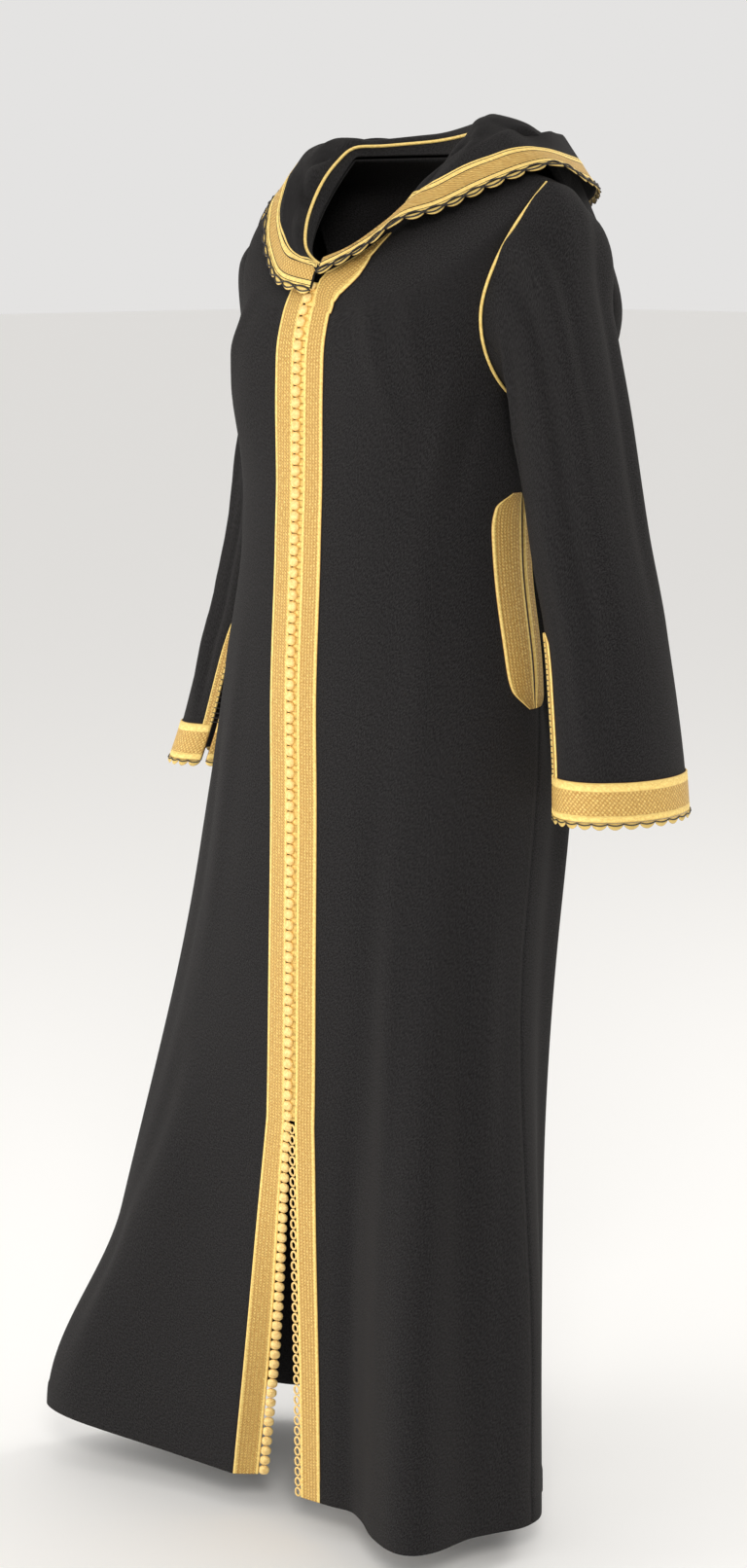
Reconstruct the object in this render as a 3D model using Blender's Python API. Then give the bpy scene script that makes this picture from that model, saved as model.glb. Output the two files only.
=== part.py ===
# Hooded Moroccan kaftan in black crepe with gold braid, hollow as it is worn.
# Metres, +Z up. The wearer faces -Y and has the left side at +X.
# The origin is on the neck axis at the height of the shoulders, which carry the garment.
import functools
import math

import bmesh
import bpy
import numpy as np
from mathutils import Vector
from mathutils.bvhtree import BVHTree

# Cloth and trim
WALL = 0.0018
BRAID = 0.0016
SEAM = 0.0004
BRAID_LIFT = 0.0004
TRIM_LIFT = 0.0011
HOOD_BAND_LIFT = 0.0022
CORD_RADIUS = 0.0013

# Placket: half of the gap between the fronts, braid width, the slit above the hem, and how far the
# right edge turns inwards beside the slit
PLACKET_HALF = 0.0070
BRAID_WIDTH = 0.0250
SLIT_TOP_Z = -0.945
SLIT_RIGHT = 0.034
SLIT_LEFT = 0.022
TURN_TOP_Z = -0.900
TURN_FULL_Z = -1.300
TURN_ANGLE = 44.0
PLACKET_INSET = 0.15
KNOT_PITCH = 0.0108
KNOT_REACH = 0.0090
KNOT_NECK = 0.0040
KNOT_LIFT = 0.0032
KNOT_NECK_LIFT = 0.0008
KNOT_BACK = 0.0012
LOOP_REACH = 0.0090
CLOSED_LOOP_REACH = 0.0044
LOOP_ROOT = 0.0022
LOOP_HALF = 0.0010
LOOP_RIM = 0.0016
LOOP_LEG = 0.28
CLOSED_LOOP_ROWS = 34

# Sleeves: slit above the cuff, cuff band and its scallops
SLIT_ANGLE = 120.0
SLIT_TRIM_ANGLE = 11.0
SLIT_HALF = 0.0025
SCALLOP = 0.0065
SCALLOP_VALLEY = 0.0015
SCALLOP_TIP = 0.25
CUFF_SCALLOPS = 26
HOOD_SCALLOPS = 54

# Grid counts
ARMHOLE_ROWS = 8
ARMHOLE_POWER = 0.5
FRONT_COLUMNS = 8
BACK_COLUMNS = 14
# How far the folded hood stays off the body, and the armhole cord off its seam
HOOD_REST = 0.0031
HOOD_POUCH_REST = 0.0042
HOOD_POUCH_PLACE = 2.1
HOOD_POUCH_SPREAD = 0.8
HOOD_FREE_PLACE = 1.2
CORD_GAP = 0.0011
NECK_CORD_SHARE = 0.6

# One row for each level of the body, from the neck seam to the hem. The sides, the centre front and
# the centre back of a level have heights of their own.
RING_COLUMNS = ("name", "side_z", "front_z", "back_z", "half", "front", "back",
                "centre_x", "centre_y", "power", "placket_x")
RINGS = (
    ("neck", -0.002, -0.110, 0.000, 0.078, 0.118, 0.058, 0.000, 0.000, 1.75, 0.000),
    ("yoke", -0.011, -0.130, -0.016, 0.125, 0.131, 0.086, 0.000, 0.000, 2.00, 0.000),
    ("shoulder", -0.028, -0.150, -0.044, 0.180, 0.139, 0.104, 0.000, 0.000, 2.15, 0.000),
    ("chest", -0.115, -0.185, -0.115, 0.168, 0.144, 0.114, 0.000, 0.000, 2.30, 0.000),
    ("armpit", -0.228, -0.240, -0.228, 0.161, 0.146, 0.112, 0.000, 0.000, 2.40, 0.000),
    ("waist", -0.370, -0.370, -0.370, 0.163, 0.152, 0.112, 0.000, 0.000, 2.40, 0.000),
    ("hip", -0.500, -0.500, -0.500, 0.186, 0.155, 0.120, -0.004, -0.002, 2.40, -0.001),
    ("cuff_level", -0.625, -0.625, -0.625, 0.199, 0.147, 0.124, -0.018, -0.008, 2.40, -0.004),
    ("thigh", -0.780, -0.780, -0.780, 0.209, 0.137, 0.134, -0.036, -0.016, 2.40, -0.009),
    ("slit_top", -0.945, -0.945, -0.945, 0.221, 0.128, 0.144, -0.052, -0.022, 2.40, -0.015),
    ("knee", -1.080, -1.080, -1.080, 0.230, 0.124, 0.150, -0.062, -0.026, 2.40, -0.021),
    ("calf", -1.210, -1.210, -1.210, 0.240, 0.120, 0.155, -0.072, -0.028, 2.40, -0.028),
    ("hem", -1.335, -1.335, -1.335, 0.250, 0.116, 0.160, -0.080, -0.030, 2.40, -0.036),
)
BODY_ROWS_PER_RING = (1, 2, 0, 0, 2, 2, 1, 2, 2, 2, 2, 2)

# Soft folds: a ridge (or a trough, where the height is negative) that runs down the body. The angle
# is counted from the front towards the left side and drifts as the fold goes down. The rise is how
# much the fold lifts the cloth at its lower end.
FOLD_COLUMNS = ("name", "angle", "drift", "spread", "start_z", "full_z", "fade_z", "end_z", "height", "rise")
FOLDS = (
    ("right_bust", -34, 0, 24, -0.130, -0.190, -0.220, -0.330, 0.014, 0.0),
    ("left_bust", 34, 0, 24, -0.130, -0.190, -0.220, -0.330, 0.010, 0.0),
    ("right_leg", -44, 6, 30, -0.660, -1.330, -1.400, -1.500, 0.066, 0.016),
    ("right_corner", -56, 0, 17, -1.100, -1.330, -1.400, -1.500, 0.044, 0.008),
    ("right_diagonal", -22, 60, 11, -0.900, -1.080, -1.180, -1.360, 0.010, 0.0),
    ("left_corner", 51, -4, 15, -0.620, -1.330, -1.400, -1.500, 0.084, 0.0),
    ("left_side", 88, 0, 15, -0.760, -1.200, -1.400, -1.500, 0.034, 0.0),
    ("back_left", 128, 0, 22, -0.600, -1.000, -1.400, -1.500, -0.014, 0.0),
    ("back_middle", 176, 0, 16, -0.450, -1.200, -1.400, -1.500, 0.014, 0.0),
    ("back_right", -132, 0, 18, -0.560, -1.200, -1.400, -1.500, -0.012, 0.0),
)

# How far the sleeve opening bites into the front and the back, in degrees round the body
FRONT_BITE = 22.0
BACK_BITE = 19.0

# Sleeves: one row for each section, with the place of its outer side and of its side next to the body,
# how far back its middle is on each arm, its half width, and how far it still follows the armhole
SLEEVE_COLUMNS = ("name", "out_x", "out_z", "in_x", "in_z", "left_y", "right_y", "right_x", "half_wide",
                  "follow")
SLEEVE = (
    ("armhole", 0.180, -0.028, 0.163, -0.228, -0.003, -0.003, 0.000, 0.062, 1.00),
    ("cap", 0.206, -0.049, 0.173, -0.238, -0.002, 0.004, 0.000, 0.063, 0.55),
    ("upper", 0.227, -0.098, 0.177, -0.250, 0.000, 0.018, -0.004, 0.062, 0.15),
    ("bicep", 0.244, -0.168, 0.177, -0.268, 0.001, 0.034, -0.008, 0.061, 0.00),
    ("arm", 0.262, -0.245, 0.178, -0.305, 0.003, 0.045, -0.010, 0.061, 0.00),
    ("elbow", 0.281, -0.350, 0.187, -0.380, 0.007, 0.043, -0.010, 0.062, 0.00),
    ("slit_top", 0.299, -0.440, 0.199, -0.444, 0.014, 0.036, -0.010, 0.065, 0.00),
    ("forearm", 0.307, -0.511, 0.206, -0.508, 0.019, 0.027, -0.002, 0.070, 0.00),
    ("band_top", 0.313, -0.581, 0.211, -0.579, 0.023, 0.016, 0.004, 0.074, 0.00),
    ("cuff", 0.315, -0.619, 0.212, -0.617, 0.024, 0.008, 0.010, 0.076, 0.00),
)
SLEEVE_ROWS = (0, 0.5, 1, 1.5, 2, 2.5, 3, 4, 5, 6, 7, 8, 9)
SLIT_TOP_SECTION = 6
BAND_TOP_SECTION = 8
CUFF_SECTION = 9

# Hood, folded down: one row for each station round the neck, from the right front over the back to
# the left front. Each point is a distance from the neck axis and a height.
HOOD_COLUMNS_NAMES = ("angle", "ridge_r", "ridge_z", "roll_r", "roll_z", "edge_r", "edge_z", "bag")
HOOD = (
    (-3, 0.1215, -0.101, 0.1290, -0.106, 0.1375, -0.125, 0.0),
    (-18, 0.1190, -0.092, 0.1275, -0.097, 0.1370, -0.118, 0.0),
    (-33, 0.1120, -0.071, 0.1245, -0.078, 0.1350, -0.103, 0.0),
    (-48, 0.1050, -0.046, 0.1230, -0.050, 0.1390, -0.079, 0.0),
    (-60, 0.1000, -0.023, 0.1220, -0.026, 0.1420, -0.051, 0.0),
    (-74, 0.0950, -0.003, 0.1250, -0.008, 0.1480, -0.037, 0.0),
    (-90, 0.0900, 0.012, 0.1350, 0.009, 0.1740, -0.014, 0.0),
    (-108, 0.0840, 0.014, 0.1480, 0.017, 0.1880, -0.028, 0.35),
    (-130, 0.0790, 0.017, 0.1480, 0.018, 0.1900, -0.048, 0.92),
    (-154, 0.0760, 0.020, 0.1430, 0.012, 0.1850, -0.060, 1.0),
    (-180, 0.0750, 0.026, 0.1380, 0.006, 0.1800, -0.066, 1.0),
    (-206, 0.0760, 0.032, 0.1430, 0.012, 0.1790, -0.048, 1.0),
    (-230, 0.0820, 0.035, 0.1470, 0.018, 0.1790, -0.032, 0.92),
    (-252, 0.0910, 0.037, 0.1450, 0.018, 0.1830, -0.024, 0.35),
    (-266, 0.0940, 0.032, 0.1340, 0.017, 0.1790, -0.010, 0.0),
    (-278, 0.0950, 0.017, 0.1200, 0.009, 0.1560, -0.022, 0.0),
    (-290, 0.0950, 0.000, 0.1130, -0.006, 0.1350, -0.037, 0.0),
    (-304, 0.1000, -0.027, 0.1110, -0.031, 0.1270, -0.052, 0.0),
    (-318, 0.1060, -0.050, 0.1110, -0.053, 0.1200, -0.061, 0.0),
    (-332, 0.1130, -0.074, 0.1160, -0.077, 0.1210, -0.083, 0.0),
    (-345, 0.1190, -0.091, 0.1210, -0.093, 0.1250, -0.099, 0.0),
    (-357, 0.1220, -0.100, 0.1245, -0.103, 0.1280, -0.110, 0.0),
)

# The pouch of the hood: points of its profile between the ridge and the roll, where the pouch is full,
# and how early each one moves out and down as the pouch starts
HOOD_BAG_COLUMNS = ("name", "share", "off_chest", "z", "out_power", "down_power")
HOOD_BAG = (
    ("inner", 0.30, 0.010, -0.060, 0.5, 2.0),
    ("bottom", 0.55, 0.022, -0.250, 0.5, 2.0),
    ("bulge", 0.80, 0.064, -0.150, 1.3, 1.3),
)
HOOD_ROWS = (0, 0.5, 1, 1.5, 1.75, 2, 2.5, 3, 3.7, 4.3, 5, 5.32, 6)
HOOD_BAND_START = 11
HOOD_WIDEST_STEP = 0.8
HOOD_STEEPEST_STEP = 0.12

# Pocket trim on each side: a leaf round the hand slit in the side seam. Its halves are measured in
# columns of the front and of the back, away from the seam.
POCKET_TOP_Z = -0.316
POCKET_BOTTOM_Z = -0.524
POCKET_FRONT = 1.22
POCKET_BACK = 1.02
POCKET_SLIT_HALF = 0.06
POCKET_LIFT = 0.0013
POCKET_WIDTHS = (0.12, 0.80, 1.0, 1.0, 1.0, 1.0, 1.0, 0.80, 0.12)

CLOTH_COLOUR = (0.011, 0.011, 0.012)
GOLD_COLOUR = (0.73, 0.45, 0.13)


def clear_scene():
    for item in list(bpy.data.objects):
        bpy.data.objects.remove(item, do_unlink=True)


def make_material(name, colour, roughness, metallic=0.0):
    material = bpy.data.materials.new(name)
    material.use_nodes = True
    shader = material.node_tree.nodes["Principled BSDF"]
    shader.inputs["Base Color"].default_value = (*colour, 1.0)
    shader.inputs["Roughness"].default_value = roughness
    shader.inputs["Metallic"].default_value = metallic
    return material


def numbers(table, skip=0):
    return np.array([row[skip:] for row in table], dtype=float)


def slopes(values):
    steps = np.diff(values, axis=0)
    before, after = steps[:-1], steps[1:]
    same = before * after > 0
    total = np.where(same, before + after, 1.0)
    inner = np.where(same, 2 * before * after / total, 0.0)
    return np.concatenate([steps[:1], inner, steps[-1:]])


def ease(values, tangents, position):
    # A smooth curve through the rows of a table that never passes beyond them
    last = len(values) - 1
    index = int(min(max(math.floor(position), 0), last - 1))
    t = position - index
    a, b = values[index], values[index + 1]
    rise = (3 - 2 * t) * t * t
    return a + (b - a) * rise + tangents[index] * t * (1 - t) ** 2 - tangents[index + 1] * (1 - t) * t * t


RING_VALUES = numbers(RINGS, 1)
RING_SLOPES = slopes(RING_VALUES)
RING_NAMES = [row[0] for row in RINGS]
SHOULDER = RING_NAMES.index("shoulder")
ARMPIT = RING_NAMES.index("armpit")
NECK_FRONT_Z = dict(zip(RING_COLUMNS, RINGS[0]))["front_z"]
HEM_Z = dict(zip(RING_COLUMNS, RINGS[-1]))["front_z"]
SLEEVE_VALUES = numbers(SLEEVE, 1)
SLEEVE_SLOPES = slopes(SLEEVE_VALUES)
SLIT_SECTION_HALF = dict(zip(SLEEVE_COLUMNS, SLEEVE[SLIT_TOP_SECTION]))["half_wide"]
PLACKET_TOP_Z = NECK_FRONT_Z - 0.010
HOOD_VALUES = numbers(HOOD)
HOOD_SLOPES = slopes(HOOD_VALUES)


@functools.lru_cache(maxsize=None)
def ring(level):
    return dict(zip(RING_COLUMNS[1:], ease(RING_VALUES, RING_SLOPES, level)))


def step_between(value, start, end):
    t = min(max((value - start) / (end - start), 0.0), 1.0)
    return t * t * (3 - 2 * t)


def fold_shape(angle, z):
    # How far the folds move the cloth out, and up
    height, rise = 0.0, 0.0
    for row in FOLDS:
        fold = dict(zip(FOLD_COLUMNS, row))
        if z >= fold["start_z"]:
            continue
        grow = step_between(z, fold["start_z"], fold["full_z"])
        fade = 1.0 - step_between(z, fold["fade_z"], fold["end_z"])
        middle = fold["angle"] + fold["drift"] * (z - fold["start_z"])
        away = (angle - middle + 180.0) % 360.0 - 180.0
        share = grow * fade * math.exp(-(away / fold["spread"]) ** 2)
        height += fold["height"] * share
        rise += fold["rise"] * share
    return height, rise


def signed_power(value, power):
    return math.copysign(abs(value) ** power, value)


@functools.lru_cache(maxsize=None)
def body_surface(level, angle):
    r = ring(level)
    power = 2.0 / r["power"]
    turn = math.radians(angle)
    along = signed_power(math.cos(turn), power)
    x = r["half"] * signed_power(math.sin(turn), power)
    y = -along * (r["front"] if along > 0 else r["back"])
    end_z = r["front_z"] if along > 0 else r["back_z"]
    z = r["side_z"] + (end_z - r["side_z"]) * abs(along)
    reach = r["front"] if along > 0 else r["back"]
    outward = Vector((signed_power(x / r["half"], r["power"] - 1) / r["half"],
                      signed_power(y / reach, r["power"] - 1) / reach, 0.0)).normalized()
    height, rise = fold_shape(angle, z)
    point = Vector((r["centre_x"] + x, r["centre_y"] + y, z + rise)) + outward * height
    return turned_edge(level, point) if along > 0 else point


def turned_edge(level, point):
    # Beside the slit the right front turns inwards, from the outer edge of its braid
    middle = (placket_edge(-1, level) + placket_edge(1, level)) / 2
    inward = point.x - (placket_edge(-1, level) - BRAID_WIDTH)
    if inward <= 0 or point.x > middle:
        return point
    turn = math.radians(TURN_ANGLE) * step_between(-point.z, -TURN_TOP_Z, -TURN_FULL_Z)
    return point + Vector((inward * (math.cos(turn) - 1), inward * math.sin(turn), 0.0))


@functools.lru_cache(maxsize=None)
def body_normal(level, angle):
    top, bottom = max(level - 0.03, 0.0), min(level + 0.03, len(RINGS) - 1)
    down = body_surface(bottom, angle) - body_surface(top, angle)
    across = body_surface(level, angle + 1.5) - body_surface(level, angle - 1.5)
    return down.cross(across).normalized()


def body_point(level, angle, lift=0.0):
    return body_surface(level, angle) + body_normal(level, angle) * lift


def angle_at(level, x):
    # The angle at which a level of the front reaches a distance x from the garment's middle plane
    r = ring(level)
    part = min(abs(x - r["centre_x"]) / r["half"], 1.0)
    turn = math.degrees(math.asin(part ** (r["power"] / 2.0)))
    return math.copysign(turn, x - r["centre_x"])


def armhole_share(level):
    return min(max((level - SHOULDER) / (ARMPIT - SHOULDER), 0.0), 1.0)


def side_angle(level, bite):
    return 90.0 - bite * math.sin(math.pi * armhole_share(level)) ** ARMHOLE_POWER


def seam_turn(level):
    return math.degrees(SEAM / 2 / ring(level)["half"])


def slit_open(level):
    z = ring(level)["front_z"]
    return max((SLIT_TOP_Z - z) / (SLIT_TOP_Z - HEM_Z), 0.0)


def placket_edge(side, level):
    # How far from the middle plane the cloth of one front ends
    opening = SLIT_RIGHT if side < 0 else SLIT_LEFT
    return ring(level)["placket_x"] + side * (PLACKET_HALF + opening * slit_open(level))


def body_levels():
    levels = [0.0]
    for index, extra in enumerate(BODY_ROWS_PER_RING):
        if index == SHOULDER:
            span = ARMPIT - SHOULDER
            levels += [SHOULDER + span * (k + 1) / ARMHOLE_ROWS for k in range(ARMHOLE_ROWS)]
        elif not SHOULDER < index < ARMPIT:
            levels += [index + (k + 1) / extra for k in range(extra)]
    return levels


LEVELS = body_levels()
FIRST_ARMHOLE_ROW = LEVELS.index(float(SHOULDER))


def front_angles(side, level):
    edge = angle_at(level, placket_edge(side, level))
    braid = angle_at(level, placket_edge(side, level) + side * BRAID_WIDTH)
    end = side * (side_angle(level, FRONT_BITE) - seam_turn(level))
    rest = [braid + (end - braid) * k / (FRONT_COLUMNS - 1) for k in range(1, FRONT_COLUMNS)]
    return [edge, braid] + rest


def back_angles(level):
    end = 180.0 - side_angle(level, BACK_BITE) + seam_turn(level)
    return [end + (360.0 - 2 * end) * k / BACK_COLUMNS for k in range(BACK_COLUMNS + 1)]


FRONT_GRID = {side: [front_angles(side, level) for level in LEVELS] for side in (-1, 1)}
BACK_GRID = [back_angles(level) for level in LEVELS]


def slab(name, columns, rows, place, material, keep=None):
    # A flat pattern piece with two faces, bent into place: place(column, row, face) gives each corner
    pattern = bmesh.new()
    bmesh.ops.create_grid(pattern, x_segments=columns, y_segments=rows, size=0.5)
    for corner in pattern.verts:
        corner.co.x = round((corner.co.x + 0.5) * columns)
        corner.co.y = round((corner.co.y + 0.5) * rows)
    if keep is not None:
        gone = [face for face in pattern.faces
                if not keep(int(face.calc_center_median().x), int(face.calc_center_median().y))]
        bmesh.ops.delete(pattern, geom=gone, context="FACES")
    raised = bmesh.ops.extrude_face_region(pattern, geom=list(pattern.faces), use_keep_orig=True)
    for item in raised["geom"]:
        if isinstance(item, bmesh.types.BMVert):
            item.co.z = 1.0
    for corner in pattern.verts:
        corner.co = place(round(corner.co.x), round(corner.co.y), round(corner.co.z))
    bmesh.ops.recalc_face_normals(pattern, faces=list(pattern.faces))
    mesh = bpy.data.meshes.new(name)
    pattern.to_mesh(mesh)
    pattern.free()
    mesh.materials.append(material)
    piece = bpy.data.objects.new(name, mesh)
    GARMENT.objects.link(piece)
    return piece


def tube(name, points, radius, material, closed=False):
    curve = bpy.data.curves.new(name, "CURVE")
    curve.dimensions = "3D"
    curve.bevel_depth = radius
    curve.bevel_resolution = 2
    curve.use_fill_caps = True
    spline = curve.splines.new("POLY")
    spline.points.add(len(points) - 1)
    for target, point in zip(spline.points, points):
        target.co = (*point, 1.0)
    spline.use_cyclic_u = closed
    curve.materials.append(material)
    piece = bpy.data.objects.new(name, curve)
    GARMENT.objects.link(piece)
    return piece


def side_name(side):
    return "right" if side < 0 else "left"


def make_front(side, material):
    grid = FRONT_GRID[side]

    def place(column, row, face):
        return body_point(LEVELS[row], grid[row][column], -WALL * face)

    return slab("front_" + side_name(side), FRONT_COLUMNS, len(LEVELS) - 1, place, material)


def make_back(material):
    def place(column, row, face):
        return body_point(LEVELS[row], BACK_GRID[row][column], -WALL * face)

    return slab("back", BACK_COLUMNS, len(LEVELS) - 1, place, material)


def make_placket(side, material):
    # The left braid also runs up along the neck seam, to the third column of the front
    grid = FRONT_GRID[side]
    neck_columns = 3 if side > 0 else 1

    def corner(column, row, face):
        return body_point(LEVELS[row], grid[row][column], BRAID_LIFT + BRAID * face)

    def place(column, row, face):
        if row == 0:
            return corner(column, 0, face).lerp(corner(column, 1, face), PLACKET_INSET)
        return corner(column, row, face)

    def keep(column, row):
        return column == 0 or row == 0

    return slab("placket_" + side_name(side), neck_columns, len(LEVELS) - 1, place, material, keep)


@functools.lru_cache(maxsize=None)
def placket_levels():
    # Height of the placket against the level, to space knots and loops evenly
    fine = np.linspace(0.0, len(RINGS) - 1, 400)
    heights = [ring(level)["front_z"] for level in fine]
    return fine, np.array(heights)


def level_at_height(z):
    fine, heights = placket_levels()
    return float(np.interp(-z, -heights, fine))


def on_placket(side, level, inward, lift):
    # A point beside the cloth edge of one front, inward of it by the given distance
    x = placket_edge(side, level) - side * inward
    return body_point(level, angle_at(level, x), lift)


def make_knots(material):
    # Each knot is a bead that stands out from the right edge: wide and high in its middle
    count = int((PLACKET_TOP_Z - HEM_Z) / KNOT_PITCH)
    levels = [level_at_height(PLACKET_TOP_Z + (HEM_Z - PLACKET_TOP_Z) * k / (2 * count))
              for k in range(2 * count + 1)]
    reaches, lifts = (KNOT_NECK, KNOT_REACH), (KNOT_NECK_LIFT, KNOT_LIFT)

    def place(column, row, face):
        inward = reaches[row % 2] if column else SEAM
        return on_placket(-1, levels[row], inward, lifts[row % 2] if face else -KNOT_BACK)

    return slab("knots", 1, 2 * count, place, material)


def make_closed_loops(material):
    # Behind the knots, down to the top of the slit
    count = CLOSED_LOOP_ROWS
    levels = [level_at_height(PLACKET_TOP_Z + (SLIT_TOP_Z - PLACKET_TOP_Z) * k / count)
              for k in range(count + 1)]

    def place(column, row, face):
        inward = CLOSED_LOOP_REACH if column else SEAM
        return on_placket(1, levels[row], inward, LOOP_HALF if face else -LOOP_HALF)

    return slab("loops_closed", 1, count, place, material)


def make_open_loops(material):
    # Along the slit: each loop is a ring that stands out from the edge, open in the middle
    start_z = SLIT_TOP_Z - 2 * SEAM
    count = int((start_z - HEM_Z) / KNOT_PITCH)
    shares = [k + part for k in range(count) for part in (0.0, LOOP_LEG, 1.0 - LOOP_LEG)] + [float(count)]

    def place(column, row, face):
        level = level_at_height(start_z + (HEM_Z - start_z) * shares[row] / count)
        width = 2 * PLACKET_HALF + (SLIT_RIGHT + SLIT_LEFT) * slit_open(level)
        reach = min(LOOP_REACH, width - KNOT_REACH - SEAM)
        if row % 3:
            inward = (SEAM, LOOP_ROOT, reach - LOOP_RIM, reach)[column]
        else:
            inward = SEAM + (LOOP_ROOT + LOOP_RIM / 2 - SEAM) * column / 3
        return on_placket(1, level, inward, LOOP_HALF if face else -LOOP_HALF)

    def keep(column, row):
        return not (column == 1 and row % 3 == 1)

    return slab("loops_open", 3, 3 * count, place, material, keep)


@functools.lru_cache(maxsize=None)
def armhole_corner(side, index):
    # Corner of the sleeve opening, counted from the shoulder down the front and up the back
    around = index % (2 * ARMHOLE_ROWS)
    front = around <= ARMHOLE_ROWS
    row = around if front else 2 * ARMHOLE_ROWS - around
    level = LEVELS[FIRST_ARMHOLE_ROW + row]
    angle = side_angle(level, FRONT_BITE) if front else 180.0 - side_angle(level, BACK_BITE)
    return body_surface(level, side * angle), body_normal(level, side * angle)


def armhole_point(side, angle):
    place = (angle % 360.0) / 180.0 * ARMHOLE_ROWS
    index = int(math.floor(place))
    share = place - index
    a, b = armhole_corner(side, index)[0], armhole_corner(side, index + 1)[0]
    return a + (b - a) * share + Vector((side * 2 * SEAM, 0.0, 0.0))


@functools.lru_cache(maxsize=None)
def sleeve_surface(side, row, angle):
    s = dict(zip(SLEEVE_COLUMNS[1:], ease(SLEEVE_VALUES, SLEEVE_SLOPES, row)))
    turn = math.radians(angle)
    shift = s["right_x"] if side < 0 else 0.0
    back = s["right_y"] if side < 0 else s["left_y"]
    outer = Vector((side * (s["out_x"] + shift), back, s["out_z"]))
    inner = Vector((side * (s["in_x"] + shift), back, s["in_z"]))
    front = Vector((0.0, -s["half_wide"] * math.sin(turn), 0.0))
    oval = (outer + inner) / 2 + (outer - inner) / 2 * math.cos(turn) + front
    return oval.lerp(armhole_point(side, angle), s["follow"])


def sleeve_normal(side, row, angle):
    top, bottom = max(row - 0.05, 0.0), min(row + 0.05, len(SLEEVE) - 1)
    down = sleeve_surface(side, bottom, angle) - sleeve_surface(side, top, angle)
    across = sleeve_surface(side, row, angle + 2.0) - sleeve_surface(side, row, angle - 2.0)
    return across.cross(down).normalized() * side


def sleeve_angles(row):
    half = math.degrees((SLIT_HALF if row > SLIT_TOP_SECTION else SEAM / 2) / SLIT_SECTION_HALF)
    step = 360.0 / (2 * ARMHOLE_ROWS)
    inner = [SLIT_ANGLE + step * k for k in range(1, 2 * ARMHOLE_ROWS)]
    start, end = SLIT_ANGLE, SLIT_ANGLE + 360.0
    return [start + half, start + SLIT_TRIM_ANGLE] + inner + [end - SLIT_TRIM_ANGLE, end - half]


SLEEVE_GRID = [sleeve_angles(row) for row in SLEEVE_ROWS]
SLEEVE_LAST = len(SLEEVE_GRID[0]) - 1


def sleeve_point(side, row, column, lift):
    angle = SLEEVE_GRID[row][column]
    level = SLEEVE_ROWS[row]
    return sleeve_surface(side, level, angle) + sleeve_normal(side, level, angle) * lift


def make_sleeve(side, material):
    def place(column, row, face):
        return sleeve_point(side, row, column, -WALL * face)

    return slab("sleeve_" + side_name(side), SLEEVE_LAST, len(SLEEVE_ROWS) - 1, place, material)


def make_slit_trim(side, end, material):
    # Narrow braid beside the sleeve slit, from its top to the cuff band
    first_row = SLEEVE_ROWS.index(SLIT_TOP_SECTION)
    rows = SLEEVE_ROWS.index(BAND_TOP_SECTION) - first_row
    first_column = 0 if end == "back" else SLEEVE_LAST - 1

    def place(column, row, face):
        lift = BRAID_LIFT + BRAID * face
        point = sleeve_point(side, first_row + row, first_column + column, lift)
        if row == rows:
            above = sleeve_point(side, first_row + row - 1, first_column + column, lift)
            point = point + (above - point).normalized() * 2 * SEAM
        return point

    return slab("slit_" + end + "_" + side_name(side), 1, rows, place, material)


def facet_point(corner, count, share):
    # A point on the straight facets between corner(0) and corner(count), at a share of their length
    corners = [corner(k) for k in range(count + 1)]
    lengths = [0.0]
    for a, b in zip(corners, corners[1:]):
        lengths.append(lengths[-1] + (b - a).length)
    target = share * lengths[-1]
    for index in range(count):
        if target <= lengths[index + 1] or index == count - 1:
            part = (target - lengths[index]) / (lengths[index + 1] - lengths[index])
            return corners[index].lerp(corners[index + 1], part), index, part


def scallop_reach(step):
    return (SCALLOP_VALLEY, SCALLOP, SCALLOP)[step % 3]


def scallop_share(step, count):
    return (step // 3 + (0.0, SCALLOP_TIP, 1.0 - SCALLOP_TIP)[step % 3]) / count


def make_cuff(side, material):
    top_row, edge_row = SLEEVE_ROWS.index(BAND_TOP_SECTION), SLEEVE_ROWS.index(CUFF_SECTION)

    def place(column, row, face):
        lift = TRIM_LIFT + BRAID * face
        share = scallop_share(column, CUFF_SCALLOPS)
        index, part = facet_point(lambda k: sleeve_point(side, edge_row, k, lift), SLEEVE_LAST, share)[1:]
        top = sleeve_point(side, top_row, index, lift).lerp(sleeve_point(side, top_row, index + 1, lift), part)
        edge = sleeve_point(side, edge_row, index, lift)
        edge = edge.lerp(sleeve_point(side, edge_row, index + 1, lift), part)
        if row == 0:
            return top
        if row == 1:
            return edge
        return edge + (edge - top).normalized() * scallop_reach(column)

    return slab("cuff_" + side_name(side), 3 * CUFF_SCALLOPS, 2, place, material)


def polar_reach(r, angle):
    # How far a level reaches at a true direction from its middle, and the part of it along the middle plane
    turn = math.radians(angle)
    reach = r["front"] if math.cos(turn) > 0 else r["back"]
    across = abs(math.sin(turn)) / r["half"]
    along = abs(math.cos(turn)) / reach
    distance = (across ** r["power"] + along ** r["power"]) ** (-1.0 / r["power"])
    return distance, distance * along


def neck_seam(angle):
    r = ring(0)
    distance, along = polar_reach(r, angle)
    end_z = r["front_z"] if math.cos(math.radians(angle)) > 0 else r["back_z"]
    return distance, r["side_z"] + (end_z - r["side_z"]) * along + 3 * SEAM


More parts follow.
